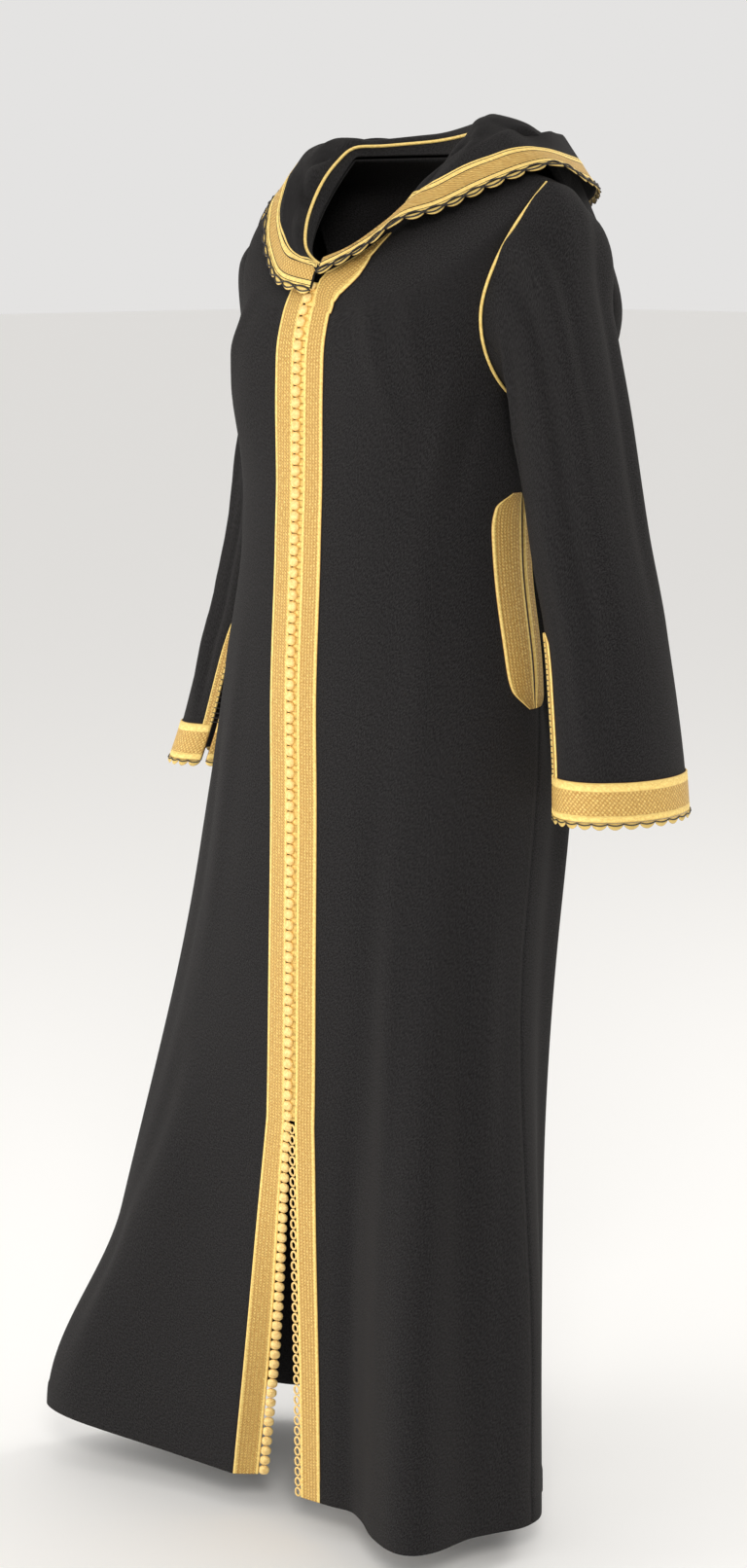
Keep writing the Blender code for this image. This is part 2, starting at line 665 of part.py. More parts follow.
@functools.lru_cache(maxsize=None)
def hood_profile(station):
    row = dict(zip(HOOD_COLUMNS_NAMES, ease(HOOD_VALUES, HOOD_SLOPES, station)))
    ridge = np.array((row["ridge_r"], row["ridge_z"]))
    roll = np.array((row["roll_r"], row["roll_z"]))
    points = [np.array(neck_seam(row["angle"])), ridge]
    chest = polar_reach(ring(RING_NAMES.index("chest")), row["angle"])[0]
    for part in HOOD_BAG:
        bag = dict(zip(HOOD_BAG_COLUMNS, part))
        distance, z = ridge + (roll - ridge) * bag["share"]
        full = max(row["bag"], 0.0)
        distance += (chest + bag["off_chest"] - distance) * full ** bag["out_power"]
        points.append(np.array((distance, z + (bag["z"] - z) * full ** bag["down_power"])))
    points += [roll, np.array((row["edge_r"], row["edge_z"]))]
    return row["angle"], np.array(points)


def body_form():
    # The panels as one set of facets, all facing out
    corners, facets = [], []
    for grid, outward in ((FRONT_GRID[-1], False), (FRONT_GRID[1], True), (BACK_GRID, True)):
        first, width = len(corners), len(grid[0])
        for level, angles in zip(LEVELS, grid):
            corners += [body_surface(level, angle) for angle in angles]
        for row in range(len(grid) - 1):
            for column in range(width - 1):
                start = first + row * width + column
                facet = (start, start + width, start + width + 1, start + 1)
                facets.append(facet if outward else facet[::-1])
    return BVHTree.FromPolygons(corners, facets)


BODY_FORM = body_form()


def hood_gap(place):
    # The underside of the pouch, which lies over the rounded shoulder, stays further off than the edge
    away = (place - HOOD_POUCH_PLACE) / HOOD_POUCH_SPREAD
    return HOOD_REST + HOOD_POUCH_REST * math.exp(-away ** 2)


def off_form(form, point, gap):
    # Moves a point that is nearer to a surface than the gap, or behind it, out to the gap
    near, normal = form.find_nearest(point)[:2]
    offset = point - near
    return point if offset.dot(normal) > -1e-6 and offset.length > gap else near + normal * gap


@functools.lru_cache(maxsize=None)
def hood_surface(station, place):
    angle, points = hood_profile(station)
    distance, z = ease(points, slopes(points), place)
    turn = math.radians(angle)
    point = Vector((distance * math.sin(turn), -distance * math.cos(turn), z))
    return off_form(BODY_FORM, point, hood_gap(place)) if place > HOOD_FREE_PLACE else point


def bag_share(station):
    return ease(HOOD_VALUES, HOOD_SLOPES, station)[HOOD_COLUMNS_NAMES.index("bag")]


def hood_stations():
    # The columns of the hood stand on the corners of the panels along the neck seam
    around = FRONT_GRID[-1][0] + BACK_GRID[0][-2:0:-1] + FRONT_GRID[1][0][::-1]
    fine = np.linspace(0.0, len(HOOD) - 1, 1200)
    directions = [-hood_profile(station)[0] for station in fine]
    stations = []
    for angle in around:
        corner = body_surface(0.0, angle)
        direction = -math.degrees(math.atan2(corner.x, -corner.y)) % 360.0
        station = float(np.interp(direction, directions, fine))
        if stations:
            between = (stations[-1] + station) / 2
            steep = abs(bag_share(station) - bag_share(stations[-1])) > HOOD_STEEPEST_STEP
            if steep or station - stations[-1] > HOOD_WIDEST_STEP:
                stations.append(between)
        stations.append(station)
    return stations


def hood_normal(station, place):
    last = len(HOOD) - 1
    before, after = max(station - 0.05, 0.0), min(station + 0.05, last)
    along = hood_surface(after, place) - hood_surface(before, place)
    low, high = max(place - 0.04, 0.0), min(place + 0.04, 6.0)
    out = hood_surface(station, high) - hood_surface(station, low)
    return along.cross(out).normalized()


HOOD_STATIONS = hood_stations()
HOOD_COLUMNS = len(HOOD_STATIONS) - 1


def hood_point(column, row, lift):
    station, place = HOOD_STATIONS[column], HOOD_ROWS[row]
    return hood_surface(station, place) + hood_normal(station, place) * lift


def make_hood(material):
    def place(column, row, face):
        return hood_point(column, row, WALL * face)

    hood = slab("hood", HOOD_COLUMNS, len(HOOD_ROWS) - 1, place, material)
    facets = bmesh.new()
    facets.from_mesh(hood.data)
    bmesh.ops.triangulate(facets, faces=list(facets.faces))
    facets.to_mesh(hood.data)
    facets.free()
    return hood


def make_hood_band(hood, material):
    form = BVHTree.FromPolygons([corner.co.copy() for corner in hood.data.vertices],
                                [tuple(facet.vertices) for facet in hood.data.polygons])
    inner_row, edge_row = HOOD_BAND_START, len(HOOD_ROWS) - 1

    def place(column, row, face):
        share = scallop_share(column, HOOD_SCALLOPS)
        index, part = facet_point(lambda k: hood_point(k, edge_row, WALL), HOOD_COLUMNS, share)[1:]
        lift = WALL + HOOD_BAND_LIFT + BRAID * face
        inner = hood_point(index, inner_row, lift).lerp(hood_point(index + 1, inner_row, lift), part)
        edge = hood_point(index, edge_row, lift).lerp(hood_point(index + 1, edge_row, lift), part)
        beyond = (edge - inner).normalized() * scallop_reach(column)
        return off_form(form, (inner, edge, edge + beyond)[row], HOOD_BAND_LIFT + BRAID * face)

    return slab("hood_band", 3 * HOOD_SCALLOPS, 2, place, material)


def make_armhole_cord(side, material):
    # Laid in the corner between the body and the sleeve, all the way round the seam
    points = []
    for index in range(2 * ARMHOLE_ROWS):
        corner, normal = armhole_corner(side, index)
        sleeve = sleeve_normal(side, 0.3, index * 180.0 / ARMHOLE_ROWS)
        between = (normal + sleeve).normalized()
        points.append(corner + between * (CORD_RADIUS + CORD_GAP) / max(between.dot(normal), 0.5))
    return tube("armhole_cord_" + side_name(side), points, CORD_RADIUS, material, closed=True)


def make_neck_cord(material):
    # Round the inside of the hood's stand, just above the neck seam
    lift = WALL + CORD_RADIUS + CORD_GAP
    points = [hood_point(column, 0, lift).lerp(hood_point(column, 1, lift), NECK_CORD_SHARE)
              for column in range(HOOD_COLUMNS + 1)]
    return tube("neck_cord", points, CORD_RADIUS, material)


def side_facet_point(side, column, row, lift):
    # A point on the straight facets beside one side seam: columns of the front up to the seam, then
    # columns of the back
    near_column, near_row = math.floor(column), int(row)
    across, down = column - near_column, row - near_row

    def corner(k, j):
        angles = FRONT_GRID[side][near_row + j][near_column + k:near_column + k + 1]
        if near_column >= FRONT_COLUMNS:
            turned = BACK_GRID[near_row + j] if side > 0 else BACK_GRID[near_row + j][::-1]
            angles = turned[near_column - FRONT_COLUMNS + k:near_column - FRONT_COLUMNS + k + 1]
        return body_point(LEVELS[near_row + j], angles[0], lift)

    upper = corner(0, 0).lerp(corner(1, 0), across)
    lower = corner(0, 1).lerp(corner(1, 1), across)
    return upper.lerp(lower, down)


def make_pocket(side, material):
    # A leaf with pointed ends, open along the seam between them
    rows = len(POCKET_WIDTHS) - 1
    heights = [ring(level)["front_z"] for level in LEVELS]

    def place(column, row, face):
        z = POCKET_TOP_Z + (POCKET_BOTTOM_Z - POCKET_TOP_Z) * row / rows
        level_row = float(np.interp(-z, [-height for height in heights], range(len(heights))))
        reach = (POCKET_FRONT if column < 3 else POCKET_BACK) * POCKET_WIDTHS[row]
        reaches = (reach, min(1.0, (reach + POCKET_SLIT_HALF) / 2), POCKET_SLIT_HALF)
        inward = reaches[column] if column < 3 else -reaches[5 - column]
        return side_facet_point(side, FRONT_COLUMNS - inward, level_row, POCKET_LIFT + BRAID * face)

    def keep(column, row):
        return column != 2 or row in (0, rows - 1)

    return slab("pocket_" + side_name(side), 5, rows, place, material, keep)


clear_scene()
GARMENT = bpy.data.collections.new("moroccan_kaftan")
bpy.context.scene.collection.children.link(GARMENT)

cloth = make_material("black_crepe", CLOTH_COLOUR, 0.85)
hood_cloth = make_material("black_crepe_hood", CLOTH_COLOUR, 0.85)
braid_gold = make_material("gold_braid", GOLD_COLOUR, 0.5, 0.15)
knot_gold = make_material("gold_knots", GOLD_COLOUR, 0.45, 0.15)
cord_gold = make_material("gold_cord", GOLD_COLOUR, 0.5, 0.15)

make_back(cloth)
make_hood_band(make_hood(hood_cloth), braid_gold)
make_neck_cord(cord_gold)
make_knots(knot_gold)
make_closed_loops(knot_gold)
make_open_loops(knot_gold)
for wearer_side in (-1, 1):
    make_front(wearer_side, cloth)
    make_placket(wearer_side, braid_gold)
    make_sleeve(wearer_side, cloth)
    make_cuff(wearer_side, braid_gold)
    make_armhole_cord(wearer_side, cord_gold)
    make_pocket(wearer_side, braid_gold)
    for slit_end in ("front", "back"):
        make_slit_trim(wearer_side, slit_end, braid_gold)
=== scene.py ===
# Hooded kaftan in black crepe with gold braid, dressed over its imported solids.
import math

import bmesh
import bpy
import numpy as np
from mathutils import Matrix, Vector
from mathutils.bvhtree import BVHTree


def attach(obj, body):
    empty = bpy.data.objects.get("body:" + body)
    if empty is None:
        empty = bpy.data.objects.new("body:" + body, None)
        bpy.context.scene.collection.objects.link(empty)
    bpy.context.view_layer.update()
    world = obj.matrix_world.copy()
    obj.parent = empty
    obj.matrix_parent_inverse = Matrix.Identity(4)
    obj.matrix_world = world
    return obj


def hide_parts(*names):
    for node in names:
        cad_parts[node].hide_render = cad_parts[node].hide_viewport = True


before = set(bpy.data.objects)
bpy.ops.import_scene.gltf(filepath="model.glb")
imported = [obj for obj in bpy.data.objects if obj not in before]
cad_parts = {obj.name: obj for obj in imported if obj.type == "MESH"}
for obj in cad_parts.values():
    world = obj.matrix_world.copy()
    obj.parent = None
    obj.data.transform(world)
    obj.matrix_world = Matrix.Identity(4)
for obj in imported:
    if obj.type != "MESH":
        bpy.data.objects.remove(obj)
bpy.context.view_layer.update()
print("frame loaded:", len(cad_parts), "nodes")

body = {
    "wall": 0.0018,
    "rowStep": 0.0055,
    "frontColumns": 84,
    "backColumns": 130,
    "frontBite": 22.0,
    "backBite": 19.0,
    "columns": ("sideZ", "frontZ", "backZ", "half", "front", "back",
                "centreX", "centreY", "power", "placketX"),
    "rings": {
        "neck": (-0.002, -0.110, 0.000, 0.078, 0.118, 0.058, 0.000, 0.000, 1.75, 0.000),
        "yoke": (-0.011, -0.130, -0.016, 0.125, 0.131, 0.086, 0.000, 0.000, 2.00, 0.000),
        "shoulder": (-0.028, -0.150, -0.044, 0.180, 0.139, 0.104, 0.000, 0.000, 2.15, 0.000),
        "chest": (-0.115, -0.185, -0.115, 0.168, 0.144, 0.114, 0.000, 0.000, 2.30, 0.000),
        "armpit": (-0.228, -0.240, -0.228, 0.161, 0.146, 0.112, 0.000, 0.000, 2.40, 0.000),
        "waist": (-0.370, -0.370, -0.370, 0.163, 0.152, 0.112, 0.000, 0.000, 2.40, 0.000),
        "hip": (-0.500, -0.500, -0.500, 0.186, 0.155, 0.120, -0.004, -0.002, 2.40, -0.001),
        "cuffLevel": (-0.625, -0.625, -0.625, 0.199, 0.147, 0.124, -0.018, -0.008, 2.40, -0.004),
        "thigh": (-0.780, -0.780, -0.780, 0.209, 0.137, 0.134, -0.036, -0.016, 2.40, -0.009),
        "slitTop": (-0.945, -0.945, -0.945, 0.221, 0.128, 0.144, -0.052, -0.022, 2.40, -0.015),
        "knee": (-1.080, -1.080, -1.080, 0.230, 0.124, 0.150, -0.062, -0.026, 2.40, -0.021),
        "calf": (-1.210, -1.210, -1.210, 0.240, 0.120, 0.155, -0.072, -0.028, 2.40, -0.028),
        "hem": (-1.335, -1.335, -1.335, 0.250, 0.116, 0.160, -0.080, -0.030, 2.40, -0.036),
    },
}

# Each fold: angle from the front towards the left side, drift as it goes down, spread,
# the heights where it starts, is full, fades and ends, how far it stands out, and how much it lifts
folds = (
    (-34, 0, 24, -0.130, -0.190, -0.220, -0.330, 0.014, 0.0),
    (34, 0, 24, -0.130, -0.190, -0.220, -0.330, 0.010, 0.0),
    (-44, 6, 30, -0.660, -1.330, -1.400, -1.500, 0.066, 0.016),
    (-56, 0, 17, -1.100, -1.330, -1.400, -1.500, 0.044, 0.008),
    (-22, 60, 11, -0.900, -1.080, -1.180, -1.360, 0.010, 0.0),
    (51, -4, 15, -0.620, -1.330, -1.400, -1.500, 0.084, 0.0),
    (98, 0, 7, -0.240, -0.330, -0.500, -0.620, -0.015, 0.0),
    (88, 0, 15, -0.760, -1.200, -1.400, -1.500, 0.034, 0.0),
    (128, 0, 22, -0.600, -1.000, -1.400, -1.500, -0.014, 0.0),
    (176, 0, 16, -0.450, -1.200, -1.400, -1.500, 0.014, 0.0),
    (-132, 0, 18, -0.560, -1.200, -1.400, -1.500, -0.012, 0.0),
)

# Smaller folds that only the cloth shows
smallFolds = (
    (20, -120, 4.0, -0.120, -0.150, -0.190, -0.290, 0.0030, 0.0),
    (33, -110, 4.5, -0.100, -0.140, -0.190, -0.300, 0.0024, 0.0),
    (60, 60, 5.0, -0.170, -0.230, -0.260, -0.360, 0.0040, 0.0),
    (72, 90, 4.0, -0.200, -0.240, -0.280, -0.350, -0.0035, 0.0),
    (48, 20, 6.0, -0.300, -0.420, -0.520, -0.680, 0.0026, 0.0),
    (29, -8, 5.0, -0.500, -0.700, -0.880, -1.100, -0.0030, 0.0),
    (38, -4, 4.5, -0.620, -0.860, -1.300, -1.500, 0.0050, 0.0),
    (27, -3, 4.0, -0.800, -1.050, -1.340, -1.500, -0.0040, 0.0),
    (64, 0, 5.0, -0.560, -0.800, -1.200, -1.450, -0.0050, 0.0),
    (76, 2, 5.5, -0.620, -0.900, -1.340, -1.500, 0.0050, 0.0),
    (-24, 10, 5.0, -0.400, -0.560, -0.700, -0.900, 0.0026, 0.0),
    (-38, 14, 6.0, -0.460, -0.640, -0.900, -1.150, -0.0036, 0.0),
    (-30, 44, 5.0, -0.860, -1.000, -1.120, -1.300, -0.0060, 0.0),
    (-36, 30, 4.0, -1.000, -1.120, -1.200, -1.360, 0.0045, 0.0),
    (-62, -6, 6.0, -0.520, -0.700, -1.300, -1.500, 0.0046, 0.0),
    (-74, -4, 5.0, -0.640, -0.900, -1.340, -1.500, -0.0046, 0.0),
    (-60, -70, 5.0, -0.180, -0.230, -0.260, -0.350, 0.0036, 0.0),
    (-28, 110, 4.5, -0.110, -0.150, -0.190, -0.300, 0.0026, 0.0),
    (104, 0, 7.0, -0.300, -0.420, -1.340, -1.500, -0.0045, 0.0),
    (118, 3, 6.0, -0.420, -0.640, -1.340, -1.500, 0.0050, 0.0),
    (141, -2, 7.0, -0.330, -0.520, -1.340, -1.500, 0.0052, 0.0),
    (160, 0, 7.0, -0.260, -0.420, -1.340, -1.500, -0.0050, 0.0),
    (193, 2, 7.0, -0.300, -0.480, -1.340, -1.500, -0.0050, 0.0),
    (209, -3, 6.0, -0.420, -0.640, -1.340, -1.500, 0.0052, 0.0),
    (238, 2, 7.0, -0.340, -0.560, -1.340, -1.500, 0.0048, 0.0),
    (256, 0, 6.0, -0.420, -0.620, -1.340, -1.500, -0.0045, 0.0),
)

placket = {
    "half": 0.0070,
    "braid": 0.0250,
    "slitTop": -0.945,
    "slitRight": 0.034,
    "slitLeft": 0.022,
    "turnTop": -0.900,
    "turnFull": -1.300,
    "turnAngle": 44.0,
    "topZ": -0.120,
    "pitch": 0.0108,
}


sides = ((-1, "Right"), (1, "Left"))  # the wearer's sides, by the sign of x


def tableOf(rows):
    return np.array(rows, dtype=float)


def together(*values):
    return np.broadcast_arrays(*(np.asarray(value, float) for value in values))


def shares(count, end=1.0):
    return np.linspace(0.0, end, count)


def slopesOf(values):
    steps = np.diff(values, axis=0)
    before, after = steps[:-1], steps[1:]
    same = before * after > 0
    total = np.where(same, before + after, 1.0)
    inner = np.where(same, 2 * before * after / total, 0.0)
    return np.concatenate([steps[:1], inner, steps[-1:]])


def ease(values, tangents, position):  # a smooth curve through the rows that never passes beyond them
    last = len(values) - 1
    index = np.clip(np.floor(position).astype(int), 0, last - 1)
    t = (position - index)[..., None]
    a, b = values[index], values[index + 1]
    rise = (3 - 2 * t) * t * t
    return a + (b - a) * rise + tangents[index] * t * (1 - t) ** 2 - tangents[index + 1] * (1 - t) * t * t


def stepBetween(value, start, end):
    t = np.clip((value - start) / (end - start), 0.0, 1.0)
    return t * t * (3 - 2 * t)


def signedPower(value, power):
    return np.sign(value) * np.abs(value) ** power


def unit(vectors):
    return vectors / np.maximum(np.linalg.norm(vectors, axis=-1, keepdims=True), 1e-12)


ringNames = list(body["rings"])
ringValues = tableOf(list(body["rings"].values()))
ringSlopes = slopesOf(ringValues)
shoulderLevel, armpitLevel = ringNames.index("shoulder"), ringNames.index("armpit")
lastLevel = len(ringNames) - 1.0
hemZ = body["rings"]["hem"][1]


def ringAt(level):
    values = ease(ringValues, ringSlopes, np.asarray(level, float))
    return {name: values[..., k] for k, name in enumerate(body["columns"])}


def foldShape(angle, z, rows):
    height, rise = np.zeros_like(z), np.zeros_like(z)
    for middle, drift, spread, start, full, fade, end, tall, lift in rows:
        grow = stepBetween(-z, -start, -full)
        gone = 1.0 - stepBetween(-z, -fade, -end)
        away = (angle - middle - drift * (z - start) + 180.0) % 360.0 - 180.0
        share = grow * gone * np.exp(-(away / spread) ** 2)
        height += tall * share
        rise += lift * share
    return height, rise


def bodySurface(level, angle, fine=True):
    level, angle = together(level, angle)
    r = ringAt(level)
    power = 2.0 / r["power"]
    turn = np.radians(angle)
    along = signedPower(np.cos(turn), power)
    x = r["half"] * signedPower(np.sin(turn), power)
    reach = np.where(along > 0, r["front"], r["back"])
    y = -along * reach
    endZ = np.where(along > 0, r["frontZ"], r["backZ"])
    z = r["sideZ"] + (endZ - r["sideZ"]) * np.abs(along)
    out = np.stack([signedPower(x / r["half"], r["power"] - 1) / r["half"],
                    signedPower(y / reach, r["power"] - 1) / reach, np.zeros_like(x)], -1)
    height, rise = foldShape(angle, z, folds)
    if fine:
        height = height + foldShape(angle, z, smallFolds)[0]
    points = np.stack([r["centreX"] + x, r["centreY"] + y, z + rise], -1) + unit(out) * height[..., None]
    return turnedEdge(level, points, along > 0)


def turnedEdge(level, points, front):
    # Beside the slit the right front turns inwards from its braid's outer edge
    x, z = points[..., 0], points[..., 2]
    middle = (placketEdge(-1, level) + placketEdge(1, level)) / 2
    start = placketEdge(-1, level) - placket["braid"]
    inward = np.where(front & (x <= middle), np.maximum(x - start, 0.0), 0.0)
    turn = np.radians(placket["turnAngle"]) * stepBetween(-z, -placket["turnTop"], -placket["turnFull"])
    moved = points.copy()
    moved[..., 0] += inward * (np.cos(turn) - 1)
    moved[..., 1] += inward * np.sin(turn)
    return moved


def bodyNormal(level, angle, fine=True):
    level, angle = together(level, angle)
    top, bottom = np.maximum(level - 0.03, 0.0), np.minimum(level + 0.03, lastLevel)
    down = bodySurface(bottom, angle, fine) - bodySurface(top, angle, fine)
    across = bodySurface(level, angle + 1.0, fine) - bodySurface(level, angle - 1.0, fine)
    return unit(np.cross(down, across))


def bodyPoint(level, angle, lift, fine=True):
    lift = np.asarray(lift, float)
    return bodySurface(level, angle, fine) + bodyNormal(level, angle, fine) * lift[..., None]


def angleAt(level, x):
    r = ringAt(level)
    part = np.minimum(np.abs(x - r["centreX"]) / r["half"], 1.0)
    return np.sign(x - r["centreX"]) * np.degrees(np.arcsin(part ** (r["power"] / 2.0)))


def sideAngle(level, bite):
    share = np.clip((level - shoulderLevel) / (armpitLevel - shoulderLevel), 0.0, 1.0)
    return 90.0 - bite * np.sin(np.pi * share) ** 0.5


def placketEdge(side, level):
    r = ringAt(level)
    opening = placket["slitRight"] if side < 0 else placket["slitLeft"]
    opened = np.maximum((placket["slitTop"] - r["frontZ"]) / (placket["slitTop"] - hemZ), 0.0)
    return r["placketX"] + side * (placket["half"] + opening * opened)


def levelRows(step):  # levels spaced evenly along the front and the side together
    fine = np.linspace(0.0, lastLevel, 2400)
    r = ringAt(fine)
    length = -(r["frontZ"] + r["sideZ"]) / 2
    length = length + 0.35 * np.abs(r["half"] - r["half"][0])
    length = np.maximum.accumulate(length)
    count = int((length[-1] - length[0]) / step)
    return np.interp(np.linspace(length[0], length[-1], count + 1), length, fine)


def levelAtHeight(z):
    fine = np.linspace(0.0, lastLevel, 1200)
    return np.interp(-np.asarray(z, float), -ringAt(fine)["frontZ"], fine)


def gridPiece(name, points, material, outward, relief=None, stitch=None, wrap=False, capped=False):
    # A flat grid bent into place, with its UV map in metres along the piece
    rows, columns = points.shape[:2]
    form = bmesh.new()
    bmesh.ops.create_grid(form, x_segments=columns - 1, y_segments=rows - 1, size=0.5)
    mesh = bpy.data.meshes.new(name)
    form.to_mesh(mesh)
    form.free()
    flat = np.zeros(len(mesh.vertices) * 3)
    mesh.vertices.foreach_get("co", flat)
    flat = flat.reshape(-1, 3)
    column = np.rint((flat[:, 0] + 0.5) * (columns - 1)).astype(int)
    row = np.rint((flat[:, 1] + 0.5) * (rows - 1)).astype(int)
    mesh.vertices.foreach_set("co", points[row, column].astype(np.float32).ravel())
    u = np.zeros((rows, columns))
    v = np.zeros((rows, columns))
    u[:, 1:] = np.cumsum(np.linalg.norm(np.diff(points, axis=1), axis=-1), axis=1)
    u -= u[:, columns // 2:columns // 2 + 1]
    v[1:] = np.cumsum(np.linalg.norm(np.diff(points, axis=0), axis=-1), axis=0)
    uv = np.stack([u, v], -1)[row, column]
    corner = np.zeros(len(mesh.loops), dtype=np.int32)
    mesh.loops.foreach_get("vertex_index", corner)
    layer = mesh.uv_layers.new(name="UVMap")
    layer.data.foreach_set("uv", uv[corner].astype(np.float32).ravel())
    for label, values in (("relief", relief), ("stitch", stitch)):
        if values is not None:
            held = mesh.attributes.new(label, "FLOAT", "POINT")
            held.data.foreach_set("value", values[row, column].astype(np.float32))
    mesh.update()
    form = bmesh.new()
    form.from_mesh(mesh)
    form.faces.ensure_lookup_table()
    middle = form.faces[len(form.faces) // 2]
    a, b = int(row[middle.verts[0].index]), int(column[middle.verts[0].index])
    if middle.normal.dot(Vector(outward[a, b])) < 0:
        bmesh.ops.reverse_faces(form, faces=list(form.faces))
    if wrap:
        bmesh.ops.remove_doubles(form, verts=list(form.verts), dist=1e-6)
    if capped:
        bmesh.ops.holes_fill(form, edges=[edge for edge in form.edges if edge.is_boundary], sides=0)
        bmesh.ops.recalc_face_normals(form, faces=list(form.faces))
    form.to_mesh(mesh)
    form.free()
    mesh.materials.append(material)
    mesh.shade_smooth()
    piece = bpy.data.objects.new(name, mesh)
    bpy.context.scene.collection.objects.link(piece)
    return piece


def giveWall(piece, thickness):
    wall = piece.modifiers.new("wall", "SOLIDIFY")
    wall.thickness = thickness
    wall.offset = -1.0
    wall.use_quality_normals = True
    return piece


def tubePiece(name, points, radius, material, count=8, closed=False):
    # A round cord along the points, with rings that don't twist
    points = np.asarray(points, float)
    if closed:
        points = np.concatenate([points, points[:1]])
    ahead = np.roll(points, -1, axis=0) - np.roll(points, 1, axis=0)
    if closed:
        ahead[0] = ahead[-1] = points[1] - points[-2]
    else:
        ahead[0], ahead[-1] = points[1] - points[0], points[-1] - points[-2]
    ahead = unit(ahead)
    side = np.zeros_like(points)
    start = np.cross(ahead[0], (0.0, 0.0, 1.0))
    side[0] = unit(start if np.linalg.norm(start) > 0.1 else np.cross(ahead[0], (0.0, 1.0, 0.0)))
    for k in range(1, len(points)):
        side[k] = unit(side[k - 1] - ahead[k] * np.dot(side[k - 1], ahead[k]))
    up = np.cross(ahead, side)
    if closed:  # the last ring is turned back to meet the first
        turn = math.atan2(np.dot(side[-1], up[0]), np.dot(side[-1], side[0]))
        turns = -turn * shares(len(points))
    else:
        turns = np.zeros(len(points))
    around = shares(count + 1, 2 * np.pi)[None, :] + turns[:, None]
    around[:, -1] = around[:, 0] + 2 * np.pi
    out = np.cos(around)[..., None] * side[:, None] + np.sin(around)[..., None] * up[:, None]
    rings = points[:, None] + out * radius
    if closed:
        rings[-1] = rings[0]
    return gridPiece(name, rings, material, out, wrap=True, capped=not closed)


def joined(name, parts):
    first = parts[0]
    with bpy.context.temp_override(active_object=first, selected_editable_objects=parts, object=first):
        bpy.ops.object.join()
    first.name = first.data.name = name
    return first


print("helpers ready")

# Materials. Patterns follow each piece's own UV map, which is in metres.
braid = {"rib": 0.0014, "column": 0.0039, "stitch": 0.0031}
looks = {
    "cloth": {
        "colour": (0.0026, 0.0025, 0.0028),
        "glaze": (0.0056, 0.0050, 0.0049),
        "speck": (0.036, 0.033, 0.032),
        "fibre": (0.037, 0.0355, 0.0365),
        "thread": (0.030, 0.028, 0.027),
        "roughness": 0.85,
        "weave": 1900.0,
    },
    "gold": {
        "body": (1.0, 0.73, 0.205),
        "bright": (1.0, 0.82, 0.42),
        "shade": (0.66, 0.37, 0.080),
        # the next colour is painted shade for the sunk parts between the stitches
        "recessShade": (0.34, 0.145, 0.018),
        # the next colour is painted shade for the low parts of the relief and the strip edges
        "deep": (0.22, 0.075, 0.010),
    },
}


def group(name, inputs, outputs):
    tree = bpy.data.node_groups.new(name, "ShaderNodeTree")
    for label, kind, value in inputs:
        socket = tree.interface.new_socket(name=label, in_out="INPUT", socket_type=kind)
        socket.default_value = value
    for label in outputs:
        tree.interface.new_socket(name=label, in_out="OUTPUT", socket_type="NodeSocketFloat")
    return tree, tree.nodes.new("NodeGroupInput"), tree.nodes.new("NodeGroupOutput")


def node(tree, kind, **values):
    made = tree.nodes.new(kind)
    for name, value in values.items():
        setattr(made, name, value)
    return made


def fill(tree, socket, value):  # a number or colour is set on the socket, anything else is linked to it
    if isinstance(value, (int, float)):
        socket.default_value = value
    elif isinstance(value, tuple):
        socket.default_value = (*value, 1.0)
    else:
        tree.links.new(value, socket)


def setInputs(shader, **values):
    for name, value in values.items():
        shader.inputs[name.replace("_", " ")].default_value = value


def calculator(tree):  # makes math nodes in one tree
    def calc(operation, *values):
        made = node(tree, "ShaderNodeMath", operation=operation)
        for socket, value in zip(made.inputs, values):
            fill(tree, socket, value)
        return made.outputs[0]
    return calc


def mixColour(tree, share, a, b):
    made = node(tree, "ShaderNodeMix", data_type="RGBA")
    fill(tree, made.inputs[0], share)
    fill(tree, made.inputs[6], a)
    fill(tree, made.inputs[7], b)
    return made.outputs[2]


def noiseMask(tree, vector, scale, detail, low, high):
    made = node(tree, "ShaderNodeTexNoise")
    setInputs(made, Scale=scale, Detail=detail)
    tree.links.new(vector, made.inputs["Vector"])
    spread = node(tree, "ShaderNodeMapRange")
    setInputs(spread, From_Min=low, From_Max=high)
    tree.links.new(made.outputs["Fac"], spread.inputs["Value"])
    return spread.outputs[0]


def makeWeaveGroup():  # crossed threads with slubs: height, and a mask of the raised ones
    inputs = (("Vector", "NodeSocketVector", (0, 0, 0)), ("Threads", "NodeSocketFloat", 1900.0))
    tree, given, out = group("crepeWeave", inputs, ("Height", "Mask"))
    calc = calculator(tree)
    apart = node(tree, "ShaderNodeSeparateXYZ")
    tree.links.new(given.outputs["Vector"], apart.inputs[0])
    wobble = noiseMask(tree, given.outputs["Vector"], 260.0, 2.0, 0.3, 0.7)
    threads = []
    for axis in (0, 1):
        count = calc("MULTIPLY", apart.outputs[axis], given.outputs["Threads"])
        bent = calc("ADD", calc("MULTIPLY", count, math.pi), calc("MULTIPLY", wobble, 1.6))
        threads.append(calc("ABSOLUTE", calc("SINE", bent)))
    crossed = calc("MULTIPLY", threads[0], threads[1])
    slubs = noiseMask(tree, given.outputs["Vector"], 900.0, 3.0, 0.25, 0.8)
    height = calc("ADD", calc("MULTIPLY", crossed, 0.6), calc("MULTIPLY", slubs, 0.8))
    tree.links.new(height, out.inputs["Height"])
    tree.links.new(calc("MULTIPLY", slubs, threads[1]), out.inputs["Mask"])
    return tree


